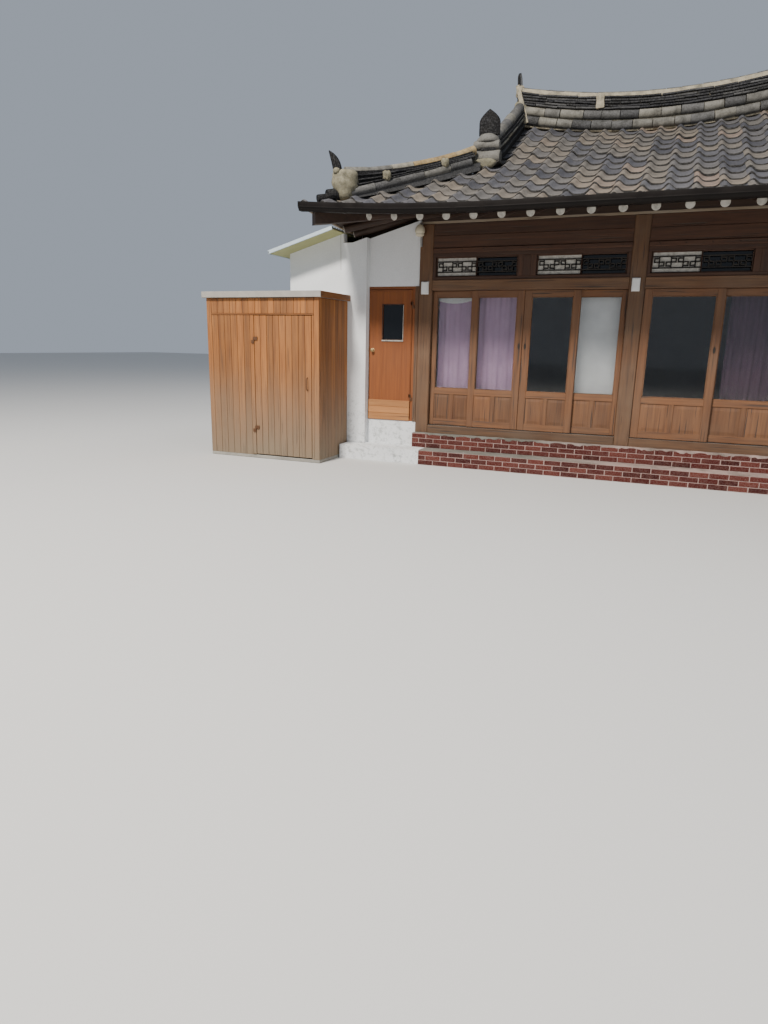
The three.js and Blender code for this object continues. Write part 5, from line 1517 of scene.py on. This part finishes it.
ends = np.linspace(-GUTTER_END, GUTTER_END, 5)
for k in range(4):
    gutter_run(ends[k] + 0.001, ends[k + 1] - 0.001, CHANNEL, 26, 0.5)
bead = [[-0.1125, -0.062], [-0.1085, -0.062], [-0.1085, -0.050], [-0.1125, -0.050]]
gutter_run(-3.995, 3.995, bead, 80, 0.9)
band = np.concatenate([CHANNEL[:6] * [1.025, 1.03], (CHANNEL[:6] * 0.995)[::-1]])
for x in (*ends[1:-1], -3.40, -1.66, 1.66, 3.40):
    gutter_run(x - 0.030, x + 0.030, band, 3, 0.7)
strap = [[-0.105, 0.002], [-0.105, -0.002], [0.0, -0.002], [0.0, 0.002]]
for x in np.arange(-3.6, 3.7, 0.6):
    gutter_run(x - 0.010, x + 0.010, strap, 2, 0.6)
for x in (-GUTTER_END, GUTTER_END - 0.003):
    gutter_run(x, x + 0.003, CHANNEL[:7], 2, 0.6)
make("gutter", gutter, gutter_metal, slot="gutter_metal",
     replaces=["gutter_length_%d" % k for k in (1, 2, 3, 4)])

# %% [markdown]
# ## Walls
# The plastered walls come from the frame. Posts and beams of old timber stand a few millimetres proud of
# the plaster, and a dark square purlin with a pale lath at its foot lies on the walls.

# %% Wall timbers and plaster
for node in ("foundation", "brick_step"):
    finish_node(node, brick_joint)
for node in ("left_wall", "right_wall", "back_wall"):
    finish_node(node, wall_plaster)
for node in ("annex_front_wall", "annex_back_wall", "annex_left_wall"):
    finish_node(node, foot_plaster)
finish_node("annex_base", concrete)

WALL_BEAMS = ((0.4055, 0.5215), (1.4185, 1.5415), (2.3755, 2.4985))
WALL_FOOT, WALL_HEAD = 0.4052, 3.2392
walls = Form()
posts = [(-2.868, -2.672, 2.236, 2.433), (2.672, 2.868, 2.236, 2.433), (2.780, 2.868, -0.098, 0.098),
         (-0.098, 0.098, 2.300, 2.433)]
for x0, x1, y0, y1 in posts:
    blocks(walls, [x0, y0, WALL_FOOT], [x1, y1, WALL_HEAD], 0.008, grain=2)
for z0, z1 in WALL_BEAMS:
    blocks(walls, [2.790, -2.2385, z0], [2.853, 2.300, z1], 0.006, grain=1)
    blocks(walls, [-2.680, 2.350, z0], [2.680, 2.418, z1], 0.006)
make("wall_timbers", walls, post_wood, slot="old_timber")

plate_low, plate_high = room("wall_plate")
purlin = Form()
inner_x, inner_y = 2.690, 2.255
z0, z1 = plate_low[2], plate_high[2]
for way in (-1, 1):
    y0, y1 = sorted((way * inner_y, way * plate_high[1]))
    blocks(purlin, [plate_low[0], y0, z0], [plate_high[0], y1, z1], 0.006, tone=0.5)
    x0, x1 = sorted((way * inner_x, way * plate_high[0]))
    blocks(purlin, [x0, -inner_y, z0], [x1, inner_y, z1], 0.006, tone=0.5, grain=1)
make("purlin", purlin, eave_wood, slot="old_timber", replaces=["wall_plate"])
lath = Form()
for way in (-1, 1):
    y0, y1 = sorted((way * plate_high[1], way * plate_high[1] + way * 0.008))
    blocks(lath, [plate_low[0], y0, z0], [plate_high[0], y1, z0 + 0.032], 0.002)
make("purlin_laths", lath, edge_wood, slot="old_timber")

# %% [markdown]
# ## The lean-to
# Its roof is a corrugated sheet, z = plane + 9 mm * sin(2 pi y / 76 mm), over a yellow-green soffit board
# with a light fascia. The small door is a flush leaf with a dark window, a whitish sill under it and three
# pine kick boards.

# %% Lean-to roof
roof_low, roof_high = room("annex_roof")
SHEET_WAVE = 0.076


def lean(x):
    """Underside of the lean-to's roof, which falls 0.287 m a metre to the left."""
    return 2.903 + 0.287 * (x + 4.857) + 0.0003


sheet, soffit, fascia = Form(), Form(), Form()
sheet_y = np.arange(roof_low[1] + 0.012, roof_high[1] - 0.012, SHEET_WAVE / 8)
xx, yy = grid(np.linspace(roof_low[0], roof_high[0], 4), sheet_y)
wavy = lean(xx) + 0.036 + 0.009 * np.sin(2 * math.pi * yy / SHEET_WAVE)
slab(sheet, xyz(xx, yy, wavy), xyz(xx, yy, wavy - 0.002))
make("lean_to_sheet", sheet, sheet_metal, slot="sheet_roof", replaces=["annex_roof"], sharp=60)
xx, yy = grid(np.linspace(roof_low[0] + 0.012, roof_high[0], 3),
              np.linspace(roof_low[1] + 0.012, roof_high[1] - 0.012, 6))
slab(soffit, xyz(xx, yy, lean(xx) + 0.014), xyz(xx, yy, lean(xx) + 0.001))
make("lean_to_soffit", soffit, green_soffit, slot="sheet_roof")
for y in (roof_low[1] + 0.007, roof_high[1] - 0.007):
    x = np.linspace(roof_low[0], roof_high[0], 8)
    carry(fascia, xyz(x, y, lean(x) + 0.0225), plank_section(0.014, 0.050), tone=0.5)
blocks(fascia, [roof_low[0] - 0.001, roof_low[1], lean(roof_low[0]) - 0.002],
       [roof_low[0] + 0.013, roof_high[1], lean(roof_low[0]) + 0.040], 0.002)
seam = np.linspace([-4.027, -2.5205, 2.665], [-4.031, -2.5205, 3.135], 6)
make("lean_to_fascia", fascia, blue_paint, slot="sheet_roof")
joint = carry(Form(), seam, plank_section(0.006, 0.003), up=(0, 1, 0))
make("plaster_seam", joint, pale_board, slot="plaster")

# %% Small door and its frame
DOOR_FACE = -2.400
frame_wood = Form()
frame_x0, frame_x1, frame_z0, frame_z1 = -3.6667, -2.9223, 0.5523, 2.4397
FRAME_BAR, FRAME_BACK = 0.038, -2.320
blocks(frame_wood, [[frame_x0, DOOR_FACE, frame_z0], [frame_x1 - FRAME_BAR, DOOR_FACE, frame_z0]],
       [[frame_x0 + FRAME_BAR, FRAME_BACK, frame_z1], [frame_x1, FRAME_BACK, frame_z1]], 0.003, tone=0.4,
       grain=2)
blocks(frame_wood, [[frame_x0 + FRAME_BAR, DOOR_FACE, frame_z0],
                    [frame_x0 + FRAME_BAR, DOOR_FACE, frame_z1 - FRAME_BAR]],
       [[frame_x1 - FRAME_BAR, FRAME_BACK, frame_z0 + FRAME_BAR],
        [frame_x1 - FRAME_BAR, FRAME_BACK, frame_z1]], 0.003, tone=0.3)
make("small_door_frame", frame_wood, door_wood, slot="orange_timber", replaces=["annex_door_frame"])


def hinge(fixed, moving, pin, z, fixed_plate, *moving_plates):
    """Two barrels on one pin, the moving one on top. A plate: its ends along X from the pin, and its back."""
    for form, z0, z1, plates in ((fixed, z, z + 0.045, [fixed_plate]),
                                 (moving, z + 0.0453, z + 0.0903, moving_plates)):
        rods(form, [*pin, z0], [*pin, z1], 0.007, 14)
        for x0, x1, back in plates:
            blocks(form, [pin[0] + x0, pin[1] - 0.002, z0], [pin[0] + x1, back, z1], 0.001)


PIN = (-2.9563, -2.4100)
hinge_frame, hinge_leaf = Form(), Form()
for z in (0.8523, 2.1397):
    hinge(hinge_frame, hinge_leaf, PIN, z, (0, 0.024, DOOR_FACE + 0.004), (-0.030, 0, PIN[1] + 0.002),
          (-0.030, -0.010, DOOR_FACE + 0.003))
make("small_door_hinge_frame", hinge_frame, hinge_metal, slot="orange_timber")
make("small_door_hinge_leaf", hinge_leaf, hinge_metal, body="annex_door", slot="orange_timber")

door_x0, door_x1, door_z0, door_z1 = -3.6237, -2.9653, 0.5953, 2.3967
glass_x0, glass_x1, glass_z0, glass_z1 = -3.412, -3.104, 1.705, 2.190
back = DOOR_FACE + 0.038
door_leaf, trims, kicks, ledge, pane_form = Form(), Form(), Form(), Form(), Form()
blocks(door_leaf, [[door_x0, DOOR_FACE, door_z0], [glass_x1, DOOR_FACE, door_z0]],
       [[glass_x0, back, door_z1], [door_x1, back, door_z1]], 0.002, tone=0.5, grain=2)
blocks(door_leaf, [[glass_x0, DOOR_FACE + 0.0002, door_z0], [glass_x0, DOOR_FACE + 0.0002, glass_z1]],
       [[glass_x1, back, glass_z0], [glass_x1, back, door_z1]], 0.0005, tone=0.5, grain=2)
blocks(door_leaf, [door_x1 - 0.052, DOOR_FACE - 0.007, door_z0 + 0.004],
       [door_x1 - 0.012, DOOR_FACE + 0.001, door_z1 - 0.006], 0.003, tone=0.3, grain=2)
blocks(door_leaf, [door_x0 + 0.004, DOOR_FACE - 0.004, door_z1 - 0.022],
       [door_x1 - 0.004, DOOR_FACE + 0.001, door_z1 - 0.003], 0.002, tone=0.0)
make("small_door_leaf", door_leaf, door_wood, body="annex_door", slot="orange_timber",
     replaces=["annex_door"])
border(trims, glass_x0 - 0.012, glass_x1 + 0.012, glass_z0 - 0.004, glass_z1 + 0.012, DOOR_FACE - 0.005,
       0.012, 0.012)
blocks(ledge, [[glass_x0 - 0.010, DOOR_FACE - 0.014, glass_z0 - 0.020],
               [glass_x1 + 0.002, DOOR_FACE - 0.007, glass_z0]],
       [[glass_x1 + 0.014, DOOR_FACE + 0.001, glass_z0 - 0.002],
        [glass_x1 + 0.010, DOOR_FACE + 0.001, glass_z1]], 0.002)
make("small_door_trim", trims, header_wood, body="annex_door", slot="orange_timber")
make("small_door_sill", ledge, white_paint, body="annex_door", slot="orange_timber")
blocks(pane_form, [glass_x0 - 0.002, DOOR_FACE + 0.020, glass_z0 - 0.002],
       [glass_x1 + 0.002, DOOR_FACE + 0.026, glass_z1 + 0.002], 0.0005)
make("small_door_pane", pane_form, dark_glass, body="annex_door", slot="glass")
edges = np.linspace(0.557, 0.847, 4)
kick_back = np.array([-2.4055, -2.399, -2.399])
blocks(kicks, xyz(door_x0 + 0.004, -2.418, edges[:-1] + 0.001), xyz(-2.9695, kick_back, edges[1:] - 0.001),
       0.004)
blocks(kicks, [door_x0 + 0.020, -2.407, 0.602], [-2.990, -2.399, 0.640], 0.001)
make("kick_boards", kicks, pine_wood, body="annex_door", slot="orange_timber")
trim_board = blocks(Form(), [-2.9215, -2.4128, 0.5525], [-2.8708, -2.4012, 2.4400], 0.003, tone=0.5, grain=2)
make("door_trim_board", trim_board, post_wood, slot="old_timber")
turned = np.array([[0.0, 0.027], [0.004, 0.028], [0.007, 0.016], [0.024, 0.012], [0.030, 0.020],
                   [0.040, 0.0265], [0.050, 0.023], [0.054, 0.010], [0.0548, 0.001]])
knob = carry(Form(), xyz(door_x0 + 0.062, DOOR_FACE - turned[:, 0], 1.557), circle(1.0, 20), turned[:, 1])
make("knob", knob, brass, body="annex_door", slot="orange_timber")

# %% [markdown]
# ## The shed
# The shed is boarded upright with orange stained boards, each with its own shade, which turn grey towards
# the ground. Boards like the sides' close its back beside the lean-to. Its flat roof has a pale fascia at
# the front and brown ones at the sides.

# %% Shed
FACE = -3.420
SHED_TOP = room("shed_front")[1][2]
BOARD_FOOT, BOARD_HEAD, BOARD_WIDE = 0.045, SHED_TOP - 0.001, 0.100


def upright_boards(form, start, stop, fixed, z0, z1, axis, thick, tones=(0.1, 0.95)):
    """Boards side by side from start to stop along an axis, with narrow gaps, each at its own depth."""
    count = max(1, round((stop - start) / BOARD_WIDE))
    edges = np.linspace(start, stop, count + 1)
    lows, highs = np.empty((count, 3)), np.empty((count, 3))
    depth = rng.uniform(0, 0.0025, count)
    lows[:, axis], highs[:, axis] = edges[:-1] + 0.0018, edges[1:] - 0.0018
    lows[:, 1 - axis], highs[:, 1 - axis] = fixed + depth, fixed + thick
    lows[:, 2], highs[:, 2] = z0, z1
    blocks(form, lows, highs, 0.004, tone=rng.uniform(*tones, count), grain=2)


boards, sides, door_boards, metal = Form(), Form(), Form(), Form()
upright_boards(boards, -5.637, -5.002, FACE, BOARD_FOOT, SHED_TOP - 0.215, 0, 0.030)
upright_boards(boards, -5.637, -3.997, FACE, 2.022, SHED_TOP - 0.004, 0, 0.030)
blocks(boards, [-5.637, FACE - 0.009, 2.006], [-3.997, FACE + 0.029, 2.021], 0.003, tone=0.2)
for x0, x1, proud, top in ((-5.717, -5.637, 0, SHED_TOP), (-5.002, -4.942, 0, 2.005),
                           (-4.032, -3.997, 0, 2.005), (-3.997, -3.917, 0.002, SHED_TOP)):
    blocks(boards, [x0 + 0.001, FACE - proud, BOARD_FOOT], [x1 - 0.001, FACE + 0.08, top], 0.005, tone=0.75,
           grain=2)
blocks(boards, [-5.002, FACE, 0.046], [-4.942, FACE + 0.03, 0.060], 0.002)
make("shed_front_boards", boards, shed_wood, slot="orange_timber", replaces=["shed_front"])
kerb = Form()
blocks(kerb, [[-5.717, FACE + 0.002, 0.0], [-5.717, FACE + 0.08, 0.0], [-3.947, FACE + 0.08, 0.0],
              [-5.659, -2.5515, 0.0]],
       [[-3.917, FACE + 0.075, 0.046], [-5.660, -2.5205, 0.046], [-3.918, -2.5205, 0.046],
        [-4.858, -2.5205, 0.045]], 0.006)
make("shed_kerb", kerb, concrete, slot="concrete")
for start, stop, fixed, axis in ((-3.3397, -2.5210, -3.947, 1), (-3.3397, -2.5515, -5.717, 1),
                                 (-5.717, -4.797, -2.5505, 0)):
    upright_boards(sides, start, stop, fixed, BOARD_FOOT, BOARD_HEAD, axis, 0.030)
make("shed_side_boards", sides, shed_wood, slot="orange_timber",
     replaces=["shed_right_side", "shed_left_side"])
upright_boards(door_boards, -4.937, -4.037, FACE, 0.062, 1.998, 0, 0.022, tones=(0.2, 0.9))
blocks(door_boards, [[-4.935, FACE + 0.0205, z] for z in (0.30, 1.00, 1.70)],
       [[-4.039, FACE + 0.030, z + 0.10] for z in (0.30, 1.00, 1.70)], 0.002)
make("shed_door_boards", door_boards, shed_wood, body="shed_door", slot="orange_timber",
     replaces=["shed_door"])
handle = xyz(-4.097, FACE + np.array([0.001, -0.026, -0.033, -0.033, -0.026, 0.001]),
             [1.005, 1.012, 1.035, 1.145, 1.168, 1.175])
carry(metal, handle, circle(0.006, 12), up=(1, 0, 0))
pin = (-4.941, -3.430)
shed_hinges = Form()
for z in (0.380, 1.620):
    hinge(shed_hinges, metal, pin, z, (-0.040, 0, FACE + 0.003), (0, 0.060, FACE + 0.003))
make("shed_door_metal", metal, hinge_metal, body="shed_door", slot="orange_timber")
make("shed_hinges", shed_hinges, hinge_metal, slot="orange_timber")
lid_low, lid_high = room("shed_roof")
lid, front_fascia, side_fascia = Form(), Form(), Form()
gx, gy = grid(np.linspace(lid_low[0] + 0.018, lid_high[0] - 0.018, 30),
              np.linspace(lid_low[1] + 0.018, lid_high[1], 14))
dent = lid_high[2] - 0.004 + 0.002 * ripple(gx, gy, 0.7, 91)
slab(lid, xyz(gx, gy, dent), xyz(gx, gy, dent - 0.012))
blocks(lid, [lid_low[0] + 0.030, lid_low[1] + 0.030, lid_low[2]],
       [lid_high[0] - 0.030, lid_high[1], lid_low[2] + 0.012], 0.002)
make("shed_lid", lid, sheet_metal, slot="sheet_roof", replaces=["shed_roof"])
blocks(front_fascia, [lid_low[0], lid_low[1], lid_low[2]], [lid_high[0], lid_low[1] + 0.018, lid_high[2]],
       0.003)
make("shed_front_fascia", front_fascia, pale_board, slot="sheet_roof")
for x in (lid_low[0], lid_high[0] - 0.018):
    blocks(side_fascia, [x, lid_low[1] + 0.0185, lid_low[2]], [x + 0.018, lid_high[1], lid_high[2] - 0.001],
           0.003, grain=1, tone=0.2)
make("shed_side_fascia", side_fascia, shed_wood, slot="orange_timber")

# %% [markdown]
# ## Small fixtures
# Two white junction boxes, a cream siren on its bracket and a short scalloped valance behind the first
# leaf.

# %% Fixtures
boxes, bracket = Form(), Form()
blocks(boxes, [[-2.824, -2.462, 2.332], [-0.059, -2.462, 2.347]],
       [[-2.725, -2.431, 2.491], [0.032, -2.431, 2.500]], 0.006)
blocks(boxes, [[-2.828, -2.441, 2.328], [-0.063, -2.441, 2.343]],
       [[-2.721, -2.4305, 2.495], [0.036, -2.4305, 2.504]], 0.003)
make("junction_boxes", boxes, white_plastic, slot="plaster")
blocks(bracket, [-2.858, -2.456, 2.950], [-2.828, -2.431, 3.250], 0.004)
rods(bracket, [-2.843, -2.430, 3.235], [-2.843, -2.530, 3.235], 0.010, 12)
make("siren_bracket", bracket, steel, slot="gutter_metal")
profile = np.array([[0.240, 0.012], [0.236, 0.030], [0.212, 0.048], [0.190, 0.062], [0.158, 0.068],
                    [0.140, 0.066],
                    [0.132, 0.058], [0.120, 0.056], [0.104, 0.060], [0.092, 0.045], [0.086, 0.012]])
siren = carry(Form(), xyz(-2.843, -2.520, 2.985 + profile[:, 0]), circle(1.0, 28), profile[:, 1],
              up=(0, 1, 0))
make("siren", siren, cream_plastic, slot="plaster")

valance_x, valance_u = np.linspace(-2.636, -2.150, 70), np.linspace(0, 1, 10)
share = (valance_x - valance_x[0]) / (valance_x[-1] - valance_x[0])
drop = 0.058 + 0.037 * np.sin(math.pi * share) - 0.006 * np.abs(np.sin(7 * math.pi * share))
uu, xx = grid(valance_u, valance_x)
zz = 2.304 - uu * drop[None]
yy = -2.2385 + 0.0012 * np.sin(xx * 60) * uu
piece = make("valance", thin_sheet(xyz(xx, yy, zz)), white_cloth, slot="curtain_cloth", sharp=80)
across = float(valance_x[-1] - valance_x[0])
rod = rods(Form(), [-2.640, -2.2375, 2.3065], [-2.146, -2.2375, 2.3065], 0.003, 10)
make("valance_rod", rod, white_plastic, slot="curtain_cloth")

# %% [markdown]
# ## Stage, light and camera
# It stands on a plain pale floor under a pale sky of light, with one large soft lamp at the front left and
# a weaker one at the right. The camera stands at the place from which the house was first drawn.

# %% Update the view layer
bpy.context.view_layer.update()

# %% Floor, lights and camera


def stage_paint(tree):
    """Pale matt floor."""
    return {"Base Color": (0.60, 0.59, 0.57, 1), "Roughness": 0.9}


ground = bpy.data.meshes.new("stage_floor")
ground.from_pydata([(-60, -60, -0.001), (60, -60, -0.001), (60, 60, -0.001), (-60, 60, -0.001)], [],
                   [(0, 1, 2, 3)])
ground.materials.append(material("stage_floor", stage_paint))
placed("stage_floor", ground)

world = bpy.data.worlds.new("sky")
world.use_nodes = True
world.node_tree.nodes["Background"].inputs["Color"].default_value = (0.74, 0.83, 0.97, 1)
world.node_tree.nodes["Background"].inputs["Strength"].default_value = 0.45
bpy.context.scene.world = world


def lamp(name, spot, aim, size, energy, colour):
    """A square soft lamp that faces a point."""
    data = bpy.data.lights.new(name, "AREA")
    data.size, data.energy, data.color = size, energy, colour
    made = placed(name, data)
    made.location = spot
    made.rotation_euler = (Vector(aim) - Vector(spot)).to_track_quat("-Z", "Y").to_euler()


lamp("key", (-4.5, -14.6, 14.3), (0, -1, 1.8), 2.4, 5600, (1.0, 0.95, 0.88))
lamp("fill", (12, -12, 7), (0, -1, 1.5), 7.0, 450, (0.92, 0.96, 1.0))
lamp("rim", (4, 14, 11), (0, 0, 3), 6.0, 1500, (1.0, 0.98, 0.95))

right = Vector((0.9264, 0.3760, 0.0192))
up = Vector((-0.1078, 0.2159, 0.9704))
back = Vector((0.3607, -0.9011, 0.2405))
camera_data = bpy.data.cameras.new("camera")
camera_data.lens, camera_data.sensor_width = 23.906, 36.0
camera_data.clip_end = 200
camera = placed("camera", camera_data)
turn = Matrix((right, up, back)).transposed().to_4x4()
camera.matrix_world = Matrix.Translation((1.3225, -11.776, 1.653)) @ turn
bpy.context.scene.camera = camera
